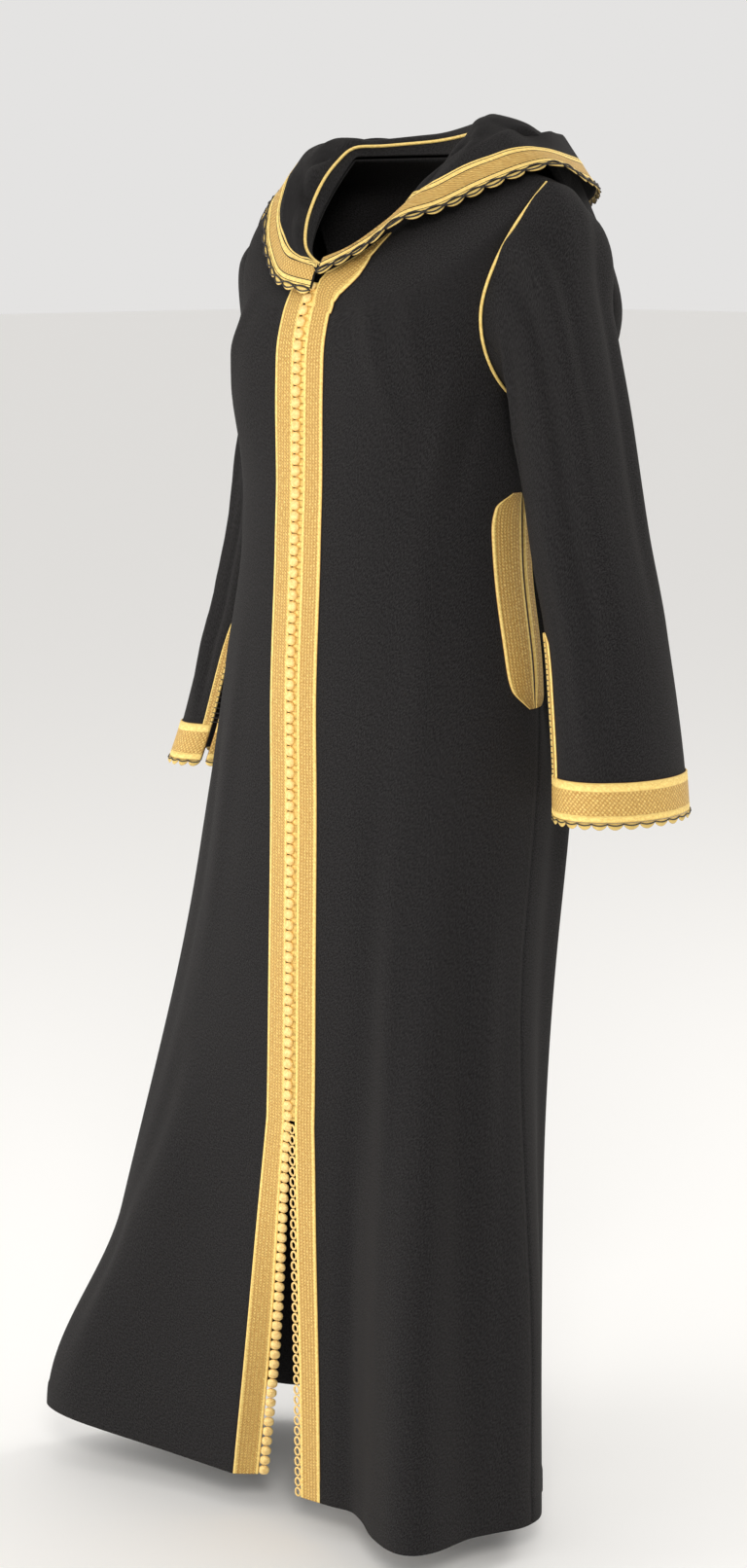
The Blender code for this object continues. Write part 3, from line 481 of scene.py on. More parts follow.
def makeThreadGroup():  # fine gold threads laid across a strip, with a few that stand out
    inputs = (("Vector", "NodeSocketVector", (0, 0, 0)), ("Slant", "NodeSocketFloat", 0.0),
              ("Threads", "NodeSocketFloat", 2200.0))
    tree, given, out = group("goldThreads", inputs, ("Height", "Mask"))
    calc = calculator(tree)
    apart = node(tree, "ShaderNodeSeparateXYZ")
    tree.links.new(given.outputs["Vector"], apart.inputs[0])
    slanted = calc("ADD", apart.outputs[1], calc("MULTIPLY", apart.outputs[0], given.outputs["Slant"]))
    wave = calc("ABSOLUTE", calc("SINE", calc("MULTIPLY", slanted, given.outputs["Threads"])))
    loose = noiseMask(tree, given.outputs["Vector"], 1400.0, 2.0, 0.3, 0.7)
    tree.links.new(calc("ADD", wave, calc("MULTIPLY", loose, 0.5)), out.inputs["Height"])
    tree.links.new(calc("MULTIPLY", wave, loose), out.inputs["Mask"])
    return tree


def makeStitchGroup():  # columns of V stitches, or a lattice of crossed ones, as a height
    inputs = (("Vector", "NodeSocketVector", (0, 0, 0)), ("Column", "NodeSocketFloat", braid["column"]),
              ("Pitch", "NodeSocketFloat", braid["stitch"]), ("Lattice", "NodeSocketFloat", 0.0))
    tree, given, out = group("goldStitches", inputs, ("Height",))
    calc = calculator(tree)
    apart = node(tree, "ShaderNodeSeparateXYZ")
    tree.links.new(given.outputs["Vector"], apart.inputs[0])
    across, along = apart.outputs[0], apart.outputs[1]
    wobble = calc("MULTIPLY", noiseMask(tree, given.outputs["Vector"], 420.0, 1.0, 0.2, 0.8), 0.22)
    local = calc("DIVIDE", across, given.outputs["Column"])
    part = calc("MULTIPLY", calc("ABSOLUTE", calc("SUBTRACT", calc("FRACT", local), 0.5)), 2.0)
    beat = calc("ADD", calc("DIVIDE", along, given.outputs["Pitch"]), calc("MULTIPLY", part, 0.62))
    beat = calc("ADD", calc("ADD", beat, calc("MULTIPLY", calc("FLOOR", local), 0.37)), wobble)
    vees = calc("ABSOLUTE", calc("SINE", calc("MULTIPLY", beat, math.pi)))
    arch = calc("SUBTRACT", 1.0, calc("MULTIPLY", calc("POWER", part, 2.0), 0.95))
    columns = calc("MULTIPLY", vees, arch)
    slants = []
    for operation in ("ADD", "SUBTRACT"):
        slant = calc("DIVIDE", calc(operation, along, across), given.outputs["Pitch"])
        turned = calc("MULTIPLY", calc("ADD", slant, wobble), math.pi / 1.45)
        slants.append(calc("ABSOLUTE", calc("SINE", turned)))
    crossed = calc("POWER", calc("MULTIPLY", slants[0], slants[1]), 0.8)
    chosen = node(tree, "ShaderNodeMix", data_type="FLOAT")
    fill(tree, chosen.inputs[0], given.outputs["Lattice"])
    fill(tree, chosen.inputs[2], columns)
    fill(tree, chosen.inputs[3], crossed)
    clumps = noiseMask(tree, given.outputs["Vector"], 330.0, 2.0, 0.36, 0.64)
    uneven = calc("ADD", 0.45, calc("MULTIPLY", clumps, 0.55))
    tree.links.new(calc("MULTIPLY", chosen.outputs[0], uneven), out.inputs["Height"])
    return tree


weaveGroup = makeWeaveGroup()
stitchGroup = makeStitchGroup()
threadGroup = makeThreadGroup()


def placed(tree, made, **inputs):
    box = node(tree, "ShaderNodeGroup", node_tree=made)
    for name, value in inputs.items():
        fill(tree, box.inputs[name], value)
    return box


def startMaterial(name):
    material = bpy.data.materials.new(name)
    material.use_nodes = True
    tree = material.node_tree
    shader = tree.nodes["Principled BSDF"]
    uv = node(tree, "ShaderNodeUVMap", uv_map="UVMap")
    return material, tree, shader, uv.outputs[0]


def bump(tree, shader, height, strength, distance):
    made = node(tree, "ShaderNodeBump")
    setInputs(made, Strength=strength, Distance=distance)
    tree.links.new(height, made.inputs["Height"])
    tree.links.new(made.outputs[0], shader.inputs["Normal"])


def clothMaterial(name, lighter=0.0):
    material, tree, shader, uv = startMaterial(name)
    calc = calculator(tree)
    look = looks["cloth"]
    weave = placed(tree, weaveGroup, Vector=uv, Threads=look["weave"])
    cloud = noiseMask(tree, uv, 26.0, 4.0, 0.3, 0.75)
    speck = noiseMask(tree, uv, 480.0, 3.0, 0.42, 0.78)
    fine = noiseMask(tree, uv, 620.0, 2.0, 0.38, 0.70)
    colour = mixColour(tree, calc("MULTIPLY", cloud, 0.35), look["colour"], look["glaze"])
    colour = mixColour(tree, calc("MULTIPLY", speck, 0.40 + lighter), colour, look["speck"])
    colour = mixColour(tree, calc("MULTIPLY", fine, 0.70), colour, look["fibre"])
    colour = mixColour(tree, calc("MULTIPLY", weave.outputs["Mask"], 0.25), colour, look["thread"])
    tree.links.new(colour, shader.inputs["Base Color"])
    rough = calc("ADD", look["roughness"], calc("MULTIPLY", speck, 0.14))
    tree.links.new(rough, shader.inputs["Roughness"])
    setInputs(shader, Specular_IOR_Level=0.14, Sheen_Weight=0.035, Sheen_Roughness=0.45,
              Sheen_Tint=(0.75, 0.68, 0.62, 1.0))
    bump(tree, shader, weave.outputs["Height"], 0.55, 0.0004)
    return material


def goldMaterial(name, slant=0.0, threads=2200.0, stitched=True, lattice=0.0, tint=(1.0, 1.0, 1.0)):
    material, tree, shader, uv = startMaterial(name)
    calc = calculator(tree)
    gold = looks["gold"].items()
    look = {key: tuple(part * shade for part, shade in zip(colour, tint)) for key, colour in gold}
    thread = placed(tree, threadGroup, Vector=uv, Slant=slant, Threads=threads)
    spots = noiseMask(tree, uv, 340.0, 3.0, 0.38, 0.66)
    colour = mixColour(tree, calc("MULTIPLY", thread.outputs["Mask"], 0.6), look["body"], look["bright"])
    colour = mixColour(tree, calc("MULTIPLY", spots, 0.50), colour, look["shade"])
    height = calc("MULTIPLY", thread.outputs["Height"], 0.30)
    if stitched:
        held = node(tree, "ShaderNodeAttribute", attribute_name="stitch")
        stitches = placed(tree, stitchGroup, Vector=uv, Lattice=lattice)
        # painted shade: where the stitches are sunk, the colour is mixed towards the darker recess colour,
        # and the bump is lowered there too
        sunk = calc("MULTIPLY", held.outputs["Fac"], calc("SUBTRACT", 1.0, stitches.outputs["Height"]))
        colour = mixColour(tree, calc("MULTIPLY", sunk, 0.85), colour, look["recessShade"])
        height = calc("SUBTRACT", height, sunk)
        # painted shade: where the relief mask is low, in hollows, between loops and picots and along strip
        # edges, the colour goes to the dark deep colour
        relief = node(tree, "ShaderNodeAttribute", attribute_name="relief")
        raised = node(tree, "ShaderNodeMapRange")
        setInputs(raised, From_Min=0.02, From_Max=0.42)
        tree.links.new(relief.outputs["Fac"], raised.inputs["Value"])
        colour = mixColour(tree, raised.outputs[0], look["deep"], colour)
    tree.links.new(colour, shader.inputs["Base Color"])
    rough = calc("ADD", 0.46, calc("MULTIPLY", spots, 0.15))
    tree.links.new(rough, shader.inputs["Roughness"])
    setInputs(shader, Metallic=0.12, Specular_IOR_Level=0.4)
    bump(tree, shader, height, 0.8, 0.0008)
    return material


def blackCordMaterial():
    material, tree, shader, uv = startMaterial("blackCordThread")
    thread = placed(tree, threadGroup, Vector=uv, Slant=0.6, Threads=3000.0)
    colour = mixColour(tree, thread.outputs["Mask"], (0.010, 0.008, 0.008), (0.05, 0.040, 0.034))
    tree.links.new(colour, shader.inputs["Base Color"])
    setInputs(shader, Roughness=0.6)
    bump(tree, shader, thread.outputs["Height"], 0.6, 0.0003)
    return material


crepe = clothMaterial("blackCrepe")
hoodCrepe = clothMaterial("blackCrepeHood", 0.05)
braidGold = goldMaterial("goldBraid")
satinGold = goldMaterial("goldSatin", slant=0.15, threads=1800.0, lattice=1.0)
knotGold = goldMaterial("goldKnots", slant=0.8, threads=1500.0, stitched=False, tint=(0.97, 0.95, 1.15))
cordGold = goldMaterial("goldCord", slant=0.9, threads=1500.0, stitched=False)
blackCord = blackCordMaterial()
print("materials ready")

# Body: two fronts and the back
levels = levelRows(body["rowStep"])
levelColumn = levels[:, None]
gap = 0.00003


def panelAngles(start, end, columns):
    share = shares(columns + 1)[None, :]
    return start[:, None] + (end - start)[:, None] * share


def hemThickness(points, normals, rows=5, out=0.0009):  # the turned hem stands out a little
    grow = np.zeros(len(points))
    grow[-rows:] = out
    return points + normals * grow[:, None, None]


def makeBodyPanels():
    made = {}
    for side, name in sides:
        edge = angleAt(levels, placketEdge(side, levels))
        end = side * (sideAngle(levels, body["frontBite"]) - np.degrees(gap / ringAt(levels)["half"]))
        angles = panelAngles(edge, end, body["frontColumns"])
        normals = bodyNormal(levelColumn, angles)
        points = hemThickness(bodySurface(levelColumn, angles), normals)
        made[name] = giveWall(gridPiece("front" + name + "Panel", points, crepe, normals), body["wall"])
    start = 180.0 - sideAngle(levels, body["backBite"]) + np.degrees(gap / ringAt(levels)["half"])
    angles = panelAngles(start, 360.0 - start, body["backColumns"])
    normals = bodyNormal(levelColumn, angles)
    points = hemThickness(bodySurface(levelColumn, angles), normals)
    made["Back"] = giveWall(gridPiece("backPanel", points, crepe, normals), body["wall"])
    return made


panels = makeBodyPanels()
print("body panels ready")

# Sleeves
sleeve = {
    "columns": ("outX", "outZ", "inX", "inZ", "leftY", "rightY", "rightX", "halfWide", "follow"),
    "sections": (
        (0.180, -0.028, 0.163, -0.228, -0.003, -0.003, 0.000, 0.062, 1.00),
        (0.206, -0.049, 0.173, -0.238, -0.002, 0.004, 0.000, 0.063, 0.55),
        (0.227, -0.098, 0.177, -0.250, 0.000, 0.018, -0.004, 0.062, 0.15),
        (0.244, -0.168, 0.177, -0.268, 0.001, 0.034, -0.008, 0.061, 0.00),
        (0.262, -0.245, 0.178, -0.305, 0.003, 0.045, -0.010, 0.061, 0.00),
        (0.281, -0.350, 0.187, -0.380, 0.007, 0.043, -0.010, 0.062, 0.00),
        (0.299, -0.440, 0.199, -0.444, 0.014, 0.036, -0.010, 0.065, 0.00),
        (0.307, -0.511, 0.206, -0.508, 0.019, 0.027, -0.002, 0.070, 0.00),
        (0.313, -0.581, 0.211, -0.579, 0.023, 0.016, 0.004, 0.074, 0.00),
        (0.315, -0.619, 0.212, -0.617, 0.024, 0.008, 0.010, 0.076, 0.00),
    ),
    "slitAngle": 120.0,
    "slitTop": 6.0,
    "bandTop": 8.0,
    "cuff": 9.0,
    "slitHalf": 2.2,
    "trimAngle": 11.0,
    "across": 120,
    "rows": 130,
}

# Each sleeve fold: arm, angle round the arm, drift a section, spread, start, full, fade, end, height
sleeveFolds = (
    ("left", 318, 0, 40, -0.2, 0.7, 1.3, 2.6, 0.020), ("right", 318, 0, 40, -0.2, 0.7, 1.3, 2.6, 0.012),
    ("left", 285, 0, 26, 1.6, 2.8, 4.2, 5.6, -0.008),
    ("left", 42, -3, 13, 0.15, 0.8, 4.0, 7.0, 0.0055), ("left", 66, -2, 9, 0.3, 1.2, 4.5, 7.0, -0.0045),
    ("left", 24, 0, 9, 0.3, 1.2, 3.5, 6.0, -0.0035), ("left", 100, 12, 10, 1.2, 2.2, 3.2, 4.6, 0.0060),
    ("left", 122, 10, 8, 1.6, 2.4, 3.4, 4.4, -0.0045), ("left", 88, -6, 9, 4.2, 5.2, 7.0, 8.2, 0.0032),
    ("left", 58, -5, 8, 4.8, 5.8, 7.4, 8.4, -0.0026), ("left", 300, 4, 14, 0.3, 1.2, 4.0, 7.0, 0.0050),
    ("left", 330, 2, 10, 0.3, 1.2, 4.0, 6.5, -0.0040), ("left", 262, -4, 12, 1.5, 2.6, 5.0, 7.5, -0.0045),
    ("right", 60, -4, 13, 0.2, 1.0, 4.0, 7.0, 0.0050), ("right", 34, -2, 9, 0.3, 1.2, 4.0, 6.5, -0.0040),
    ("right", 104, 9, 10, 1.4, 2.4, 3.6, 5.0, 0.0055), ("right", 40, 9, 7, 3.6, 4.6, 6.4, 8.0, 0.0050),
    ("right", 70, 7, 7, 4.2, 5.2, 7.0, 8.2, -0.0040), ("right", 300, 4, 14, 0.3, 1.2, 4.0, 7.0, 0.0050),
    ("right", 330, 2, 10, 0.3, 1.2, 4.0, 6.5, -0.0040), ("right", 262, -4, 12, 1.5, 2.6, 5.0, 7.5, -0.0045),
)

sleeveValues = tableOf(sleeve["sections"])
sleeveSlopes = slopesOf(sleeveValues)


def sleeveSurface(side, row, angle):
    row, angle = together(row, angle)
    values = ease(sleeveValues, sleeveSlopes, row)
    s = {name: values[..., k] for k, name in enumerate(sleeve["columns"])}
    turn = np.radians(angle)
    shift = s["rightX"] if side < 0 else 0.0
    back = s["rightY"] if side < 0 else s["leftY"]
    outer = np.stack([side * (s["outX"] + shift), back, s["outZ"]], -1)
    inner = np.stack([side * (s["inX"] + shift), back, s["inZ"]], -1)
    swing = np.zeros_like(outer)
    swing[..., 1] = -s["halfWide"] * np.sin(turn)
    oval = (outer + inner) / 2 + (outer - inner) / 2 * np.cos(turn)[..., None] + swing
    around = (angle % 360.0) / 180.0
    front = around <= 1.0
    level = shoulderLevel + (armpitLevel - shoulderLevel) * np.where(front, around, 2.0 - around)
    at = np.where(front, sideAngle(level, body["frontBite"]), 180.0 - sideAngle(level, body["backBite"]))
    seam = bodySurface(level, side * at)
    seam[..., 0] += side * 0.0008
    follow = s["follow"][..., None]
    return oval * (1 - follow) + seam * follow


def sleeveFoldHeight(side, row, angle):
    arm = "right" if side < 0 else "left"
    height = np.zeros(np.broadcast(row, angle).shape)
    for name, middle, drift, spread, start, full, fade, end, tall in sleeveFolds:
        if name != arm:
            continue
        share = stepBetween(row, start, full) * (1 - stepBetween(row, fade, end))
        away = (angle - middle - drift * (row - start) + 180.0) % 360.0 - 180.0
        height = height + tall * share * np.exp(-(away / spread) ** 2)
    return height


def sleeveNormal(side, row, angle):
    top, bottom = np.maximum(row - 0.05, 0.0), np.minimum(row + 0.05, sleeve["cuff"])
    down = sleeveSurface(side, bottom, angle) - sleeveSurface(side, top, angle)
    across = sleeveSurface(side, row, angle + 2.0) - sleeveSurface(side, row, angle - 2.0)
    return unit(np.cross(across, down)) * side


def sleevePoint(side, row, angle, lift):
    row, angle, lift = together(row, angle, lift)
    lift = lift + sleeveFoldHeight(side, row, angle)
    return sleeveSurface(side, row, angle) + sleeveNormal(side, row, angle) * lift[..., None]


def slitHalfAt(row):
    return 0.15 + sleeve["slitHalf"] * stepBetween(row, sleeve["slitTop"], sleeve["slitTop"] + 0.7)


def makeSleeve(side, name):
    rows = np.linspace(0.0, sleeve["cuff"], sleeve["rows"])[:, None]
    share = shares(sleeve["across"] + 1)[None, :]
    half = slitHalfAt(rows)
    angles = sleeve["slitAngle"] + half + (360.0 - 2 * half) * share
    normals = sleeveNormal(side, rows + 0 * angles, angles)
    points = sleevePoint(side, rows, angles, 0.0)
    return giveWall(gridPiece(name, points, crepe, normals), body["wall"])


sleeves = {side: makeSleeve(side, "sleeve" + name + "Cloth") for side, name in sides}
print("sleeves ready")

# Strips of braid: the relief stands on a strip of surface points, rows along it and columns across. Each
# relief's mask also sets painted shade: its low parts take the dark gold colour.
def stripNormals(points, hint):
    down = np.gradient(points, axis=0)
    across = np.gradient(points, axis=1)
    normals = unit(np.cross(down, across))
    flip = np.sign(np.sum(normals * hint, axis=-1, keepdims=True))
    return normals * np.where(flip == 0, 1, flip)


def rib(place, middle, half):
    return np.sqrt(np.clip(1.0 - ((place - middle) / half) ** 2, 0.0, 1.0))


def braidRelief(across, along, width):
    # across and along in millimetres: a rib at each edge and columns of stitches between them
    half, column = braid["rib"] * 1000, braid["column"] * 1000
    middle = width - 4 * half
    count = max(int(round(middle / column)), 1)
    inner, outer = rib(across, half, half), rib(across, width - half, half)
    local = (across - 2 * half) / middle * count
    inside = (local > 0) & (local < count)
    part = np.abs(np.mod(local, 1.0) - 0.5) * 2
    arch = np.sqrt(np.clip(1.0 - part ** 2 * 0.9, 0.0, 1.0))
    mask = np.where(inside, 0.35 + 0.65 * arch, np.maximum(inner, outer))
    return 0.0004 + 0.0013 * mask, mask, inside.astype(float)


def bandRelief(across, along, width, satin=2.5, rows=3):
    # satin rows along both edges and crossed stitches in the middle
    ridge = np.abs(np.sin(np.pi * across / satin)) ** 0.55
    start, end = satin * rows, width - satin * rows
    inside = (across > start) & (across < end)
    mask = np.where(inside, 0.75, ridge)
    return 0.0004 + 0.0012 * mask, mask, inside.astype(float)


def braidStrip(name, points, hint, reliefOf, width, material, lift=0.0004):
    rows, columns = points.shape[:2]
    normals = stripNormals(points, hint)
    step = np.linalg.norm(np.diff(points[:, columns // 2], axis=0), axis=-1)
    along = np.concatenate([[0.0], np.cumsum(step)])[:, None] * 1000
    across = shares(columns, width * 1000)[None, :] + 0 * along
    height, mask, stitch = reliefOf(across, along + 0 * across, width * 1000)
    edge = np.minimum(np.arange(columns), np.arange(columns)[::-1])[None, :]
    height = np.where(edge == 0, 0.0, height)  # the edges come down to the cloth
    ends = np.minimum(np.arange(rows), np.arange(rows)[::-1])[:, None]
    height = np.where(ends == 0, 0.0, height)
    # painted shade: the mask drops to nothing at the edges and ends, so they take the dark gold colour
    mask = np.where((edge == 0) | (ends == 0), 0.0, mask)
    points = points + normals * (lift + height)[..., None]
    return gridPiece(name, points, material, normals, relief=mask, stitch=stitch)


def makePlacket(side, name):
    level = levelAtHeight(np.arange(placket["topZ"] + 0.006, hemZ, -0.0009))
    level = np.append(level, lastLevel)[:, None]
    x = placketEdge(side, level) + side * placket["braid"] * shares(30)[None, :]
    angles = angleAt(level + 0 * x, x)
    points = bodySurface(level, angles)
    hint = bodyNormal(level, angles)
    return braidStrip(name, points, hint, braidRelief, placket["braid"], braidGold)


plackets = {side: makePlacket(side, "placket" + name + "Braid") for side, name in sides}

# Left braid beside the neck: level and angle of its outer edge, then of its inner edge
neckBraidEdges = (
    (2.05, 9.6, 1.70, 2.6),
    (1.62, 11.0, 1.00, 2.6),
    (1.30, 14.5, 0.40, 3.2),
    (1.05, 20.0, 0.10, 7.0),
    (0.80, 26.0, 0.03, 14.0),
    (0.55, 30.5, 0.02, 21.0),
    (0.33, 34.0, 0.02, 28.0),
    (0.16, 40.0, 0.02, 36.0),
    (0.05, 46.0, 0.02, 45.0),
)


def makeNeckBraid():  # the left braid turns and runs up beside the neck seam, tapering under the hood edge
    edges = tableOf(neckBraidEdges)
    t = shares(150, len(edges) - 1)
    fine = np.stack([np.interp(t, np.arange(len(edges)), edges[:, k]) for k in range(4)], -1)
    b, a = fine[:, :2], fine[:, 2:]
    share = shares(28)[None, :, None]
    both = a[:, None] * (1 - share) + b[:, None] * share
    points = bodySurface(both[..., 0], both[..., 1])
    hint = bodyNormal(both[..., 0], both[..., 1])
    return braidStrip("neckBraidLeft", points, hint, braidRelief, placket["braid"], braidGold, lift=0.0012)


neckBraid = makeNeckBraid()
print("placket braids ready")


def onPlacket(side, level, inward, lift):
    level, inward, lift = together(level, inward, lift)
    x = placketEdge(side, level) - side * inward
    angle = angleAt(level, x)
    return bodySurface(level, angle) + bodyNormal(level, angle) * lift[..., None]


# Knots on the right edge and loops on the left one
knot = {"wide": 0.0056, "tall": 0.0054, "deep": 0.0038, "inward": 0.0050, "lift": 0.0022}


def makeKnots():
    count = int((placket["topZ"] - hemZ) / placket["pitch"])
    heights = placket["topZ"] + (hemZ - placket["topZ"]) * (np.arange(count) + 0.5) / count
    level = levelAtHeight(heights)
    places = onPlacket(-1, level, knot["inward"], knot["lift"])
    above = onPlacket(-1, level - 0.02, knot["inward"], knot["lift"])
    outward = bodyNormal(level, angleAt(level, placketEdge(-1, level)))
    form = bmesh.new()
    made = bmesh.ops.create_icosphere(form, subdivisions=2, radius=1.0)
    for corner in made["verts"]:  # wound cord: a spiral groove as seen from the front
        x, y, z = corner.co
        turn, out = math.atan2(z, x), math.hypot(x, z)
        groove = 0.5 + 0.5 * math.cos(turn - 7.5 * out + 0.6)
        square = max(abs(math.cos(turn)), abs(math.sin(turn))) ** (-0.75 if x < 0 else -0.15)
        wide = square * (0.94 + 0.06 * groove)
        corner.co = Vector((x * wide, y * (0.62 + 0.46 * groove), z * wide))
    first = list(form.verts) + list(form.edges) + list(form.faces)
    copies = [first]
    for _ in range(count - 1):
        copy = bmesh.ops.duplicate(form, geom=first)["geom"]
        copies.append(copy)
    for place, top, out, copy in zip(places, above, outward, copies):
        up = Vector(unit(top - place))
        face = Vector(out)
        face = (face - up * face.dot(up)).normalized()
        side = up.cross(face)
        axes = side * knot["wide"], face * knot["deep"], up * knot["tall"]
        for corner in (item for item in copy if isinstance(item, bmesh.types.BMVert)):
            x, y, z = corner.co
            corner.co = Vector(place) + axes[0] * x + axes[2] * z + axes[1] * y
    bmesh.ops.recalc_face_normals(form, faces=list(form.faces))
    mesh = bpy.data.meshes.new("knotRow")
    layer = form.loops.layers.uv.new("UVMap")
    for face in form.faces:
        for loop in face.loops:
            loop[layer].uv = (loop.vert.co.x, loop.vert.co.z)
    form.to_mesh(mesh)
    form.free()
    mesh.materials.append(knotGold)
    mesh.shade_smooth()
    piece = bpy.data.objects.new("knotRow", mesh)
    bpy.context.scene.collection.objects.link(piece)
    return piece


loop = {"radius": 0.00110, "wide": 0.0032, "tall": 0.0042, "lift": 0.0014, "count": 7, "points": 14}


def makeOpenLoops(startZ):  # upright oval rings of cord along the left edge of the slit
    count = int((startZ - hemZ) / placket["pitch"])
    heights = startZ + (hemZ - startZ) * (np.arange(count) + 0.5) / count
    rings = []
    for z in heights:
        turn = np.linspace(0.0, 2 * np.pi, loop["points"], endpoint=False)
        level = levelAtHeight(z + loop["tall"] * np.sin(turn))
        inward = loop["wide"] + 0.0002 - loop["wide"] * np.cos(turn)
        ring = onPlacket(1, level, inward, loop["lift"])
        rings.append(tubePiece("loopRing", ring, loop["radius"], knotGold, count=loop["count"], closed=True))
    return joined("loopRowOpen", rings)


knots = makeKnots()
slitZ = placket["slitTop"]


def loopRelief(across, along, width):  # tight loops side by side, each one turning back on itself
    # the mask is painted shade: the gaps between the loops and the strip's edges take the dark gold colour
    beat = np.mod(along / 6.6, 1.0)
    turned = np.abs(np.sin(np.pi * beat)) ** 0.6
    ends = rib(across, width / 2, width / 2)
    ply = np.abs(np.sin(np.pi * (along / 2.2 + across / 3.0)))
    mask = turned * (0.45 + 0.55 * ends) * (0.75 + 0.25 * ply)
    return 0.0002 + 0.0014 * mask, np.clip(mask, 0, 1), 0 * mask


def makeClosedLoops():
    level = levelAtHeight(np.arange(placket["topZ"], slitZ, -0.0011))[:, None]
    inward = np.linspace(0.0003, 0.0118, 12)[None, :]
    points = onPlacket(1, level, inward, 0.0)
    hint = bodyNormal(level + 0 * inward, angleAt(level, placketEdge(1, level) - inward))
    return braidStrip("loopRowClosed", points, hint, loopRelief, 0.0115, braidGold, lift=-0.0006)


loopsClosed = makeClosedLoops()
loopsOpen = makeOpenLoops(slitZ - 0.001)
print("knots and loops ready")

# Hood, folded down
hood = {
    "columns": ("angle", "ridgeR", "ridgeZ", "rollR", "rollZ", "edgeR", "edgeZ", "bag"),
    "stations": (
        (1, 0.1240, -0.108, 0.1275, -0.113, 0.1330, -0.127, 0.0),
        (-16, 0.1200, -0.094, 0.1280, -0.099, 0.1370, -0.120, 0.0),
        (-33, 0.1120, -0.071, 0.1245, -0.078, 0.1350, -0.103, 0.0),
        (-48, 0.1050, -0.046, 0.1230, -0.050, 0.1390, -0.079, 0.0),
        (-60, 0.1000, -0.023, 0.1220, -0.026, 0.1420, -0.051, 0.0),
        (-74, 0.0950, -0.003, 0.1250, -0.008, 0.1480, -0.037, 0.0),
        (-90, 0.0900, 0.012, 0.1380, 0.008, 0.1600, -0.026, 0.0),
        (-108, 0.0840, 0.014, 0.1480, 0.017, 0.1880, -0.028, 0.35),
        (-130, 0.0790, 0.017, 0.1480, 0.018, 0.1900, -0.048, 0.92),
        (-154, 0.0760, 0.020, 0.1430, 0.012, 0.1850, -0.060, 1.0),
        (-180, 0.0750, 0.026, 0.1380, 0.006, 0.1800, -0.066, 1.0),
        (-206, 0.0760, 0.032, 0.1430, 0.012, 0.1790, -0.048, 1.0),
        (-230, 0.0820, 0.035, 0.1470, 0.018, 0.1790, -0.032, 0.92),
        (-252, 0.0910, 0.037, 0.1450, 0.018, 0.1830, -0.024, 0.35),
        (-266, 0.0940, 0.032, 0.1340, 0.017, 0.1790, -0.010, 0.0),
        (-278, 0.0950, 0.017, 0.1200, 0.009, 0.1560, -0.022, 0.0),
        (-290, 0.0950, 0.000, 0.1130, -0.006, 0.1350, -0.037, 0.0),
        (-304, 0.1000, -0.027, 0.1110, -0.031, 0.1270, -0.052, 0.0),
        (-318, 0.1060, -0.050, 0.1110, -0.053, 0.1200, -0.061, 0.0),
        (-332, 0.1130, -0.074, 0.1160, -0.077, 0.1210, -0.083, 0.0),
        (-345, 0.1190, -0.091, 0.1210, -0.093, 0.1250, -0.099, 0.0),
        (-357, 0.1220, -0.100, 0.1245, -0.103, 0.1280, -0.110, 0.0),
    ),
    "pouch": (  # share of the way from ridge to roll, distance off the chest, height, powers out and down
        (0.30, 0.010, -0.060, 0.5, 2.0),
        (0.55, 0.024, -0.282, 0.5, 2.0),
        (0.80, 0.074, -0.165, 1.3, 1.3),
    ),
    "rest": 0.0026,
    "pouchRest": 0.0042,
    "across": 250,
    "rows": 130,
    "scallops": 54,
    "band": 0.030,
}

# Each hood fold: station, drift a place, spread, place where it is strongest, its reach, height
hoodFolds = (
    (17.2, -0.6, 0.50, 0.8, 1.0, 0.0030), (18.3, -0.4, 0.40, 0.7, 0.9, -0.0026),
    (16.0, -0.5, 0.45, 1.6, 1.4, -0.0034), (13.1, 0.1, 0.45, 2.7, 1.2, -0.0100),
    (14.8, 0.3, 0.42, 2.2, 1.6, 0.0044), (13.6, 0.3, 0.40, 4.9, 0.9, -0.0040),
    (14.5, 0.4, 0.36, 5.1, 0.8, 0.0030), (12.6, 0.2, 0.45, 3.4, 1.4, 0.0060),
    (11.4, 0.1, 0.45, 3.6, 1.4, -0.0060), (10.3, 0.0, 0.50, 3.5, 1.5, 0.0060),
    (9.2, -0.1, 0.45, 3.6, 1.4, -0.0060), (8.1, -0.2, 0.45, 3.4, 1.4, 0.0060),
    (7.0, -0.3, 0.40, 4.9, 0.9, -0.0040), (5.9, -0.4, 0.42, 2.0, 1.4, 0.0050),
    (5.1, -0.3, 0.35, 1.2, 0.9, -0.0060), (4.1, 0.3, 0.40, 1.0, 1.0, 0.0040),
    (3.1, 0.3, 0.40, 0.9, 0.9, -0.0030), (2.0, 0.2, 0.40, 0.8, 0.8, 0.0024),
)

hoodValues = tableOf(hood["stations"])
hoodSlopes = slopesOf(hoodValues)
lastStation = len(hood["stations"]) - 1.0


def bodyForm():  # the body without its small folds, for the hood to rest on
    angles, rows = shares(145, 360.0), shares(90, 8.0)
    grid = bodySurface(rows[:, None], angles[None, :], fine=False)
    wide = len(angles)
    corners = [Vector(point) for point in grid.reshape(-1, 3)]
    facets = []
    for row in range(len(rows) - 1):
        for column in range(wide - 1):
            first = row * wide + column
            facets.append((first, first + wide, first + wide + 1, first + 1))
    return BVHTree.FromPolygons(corners, facets)


form = bodyForm()


def polarReach(ring, angle):  # how far a ring of the body reaches at an angle, and the part along the front
    half, front, back, power = ring[3], ring[4], ring[5], ring[8]
    turn = np.radians(angle)
    reach = np.where(np.cos(turn) > 0, front, back)
    across, along = np.abs(np.sin(turn)) / half, np.abs(np.cos(turn)) / reach
    distance = (across ** power + along ** power) ** (-1.0 / power)
    return distance, distance * along


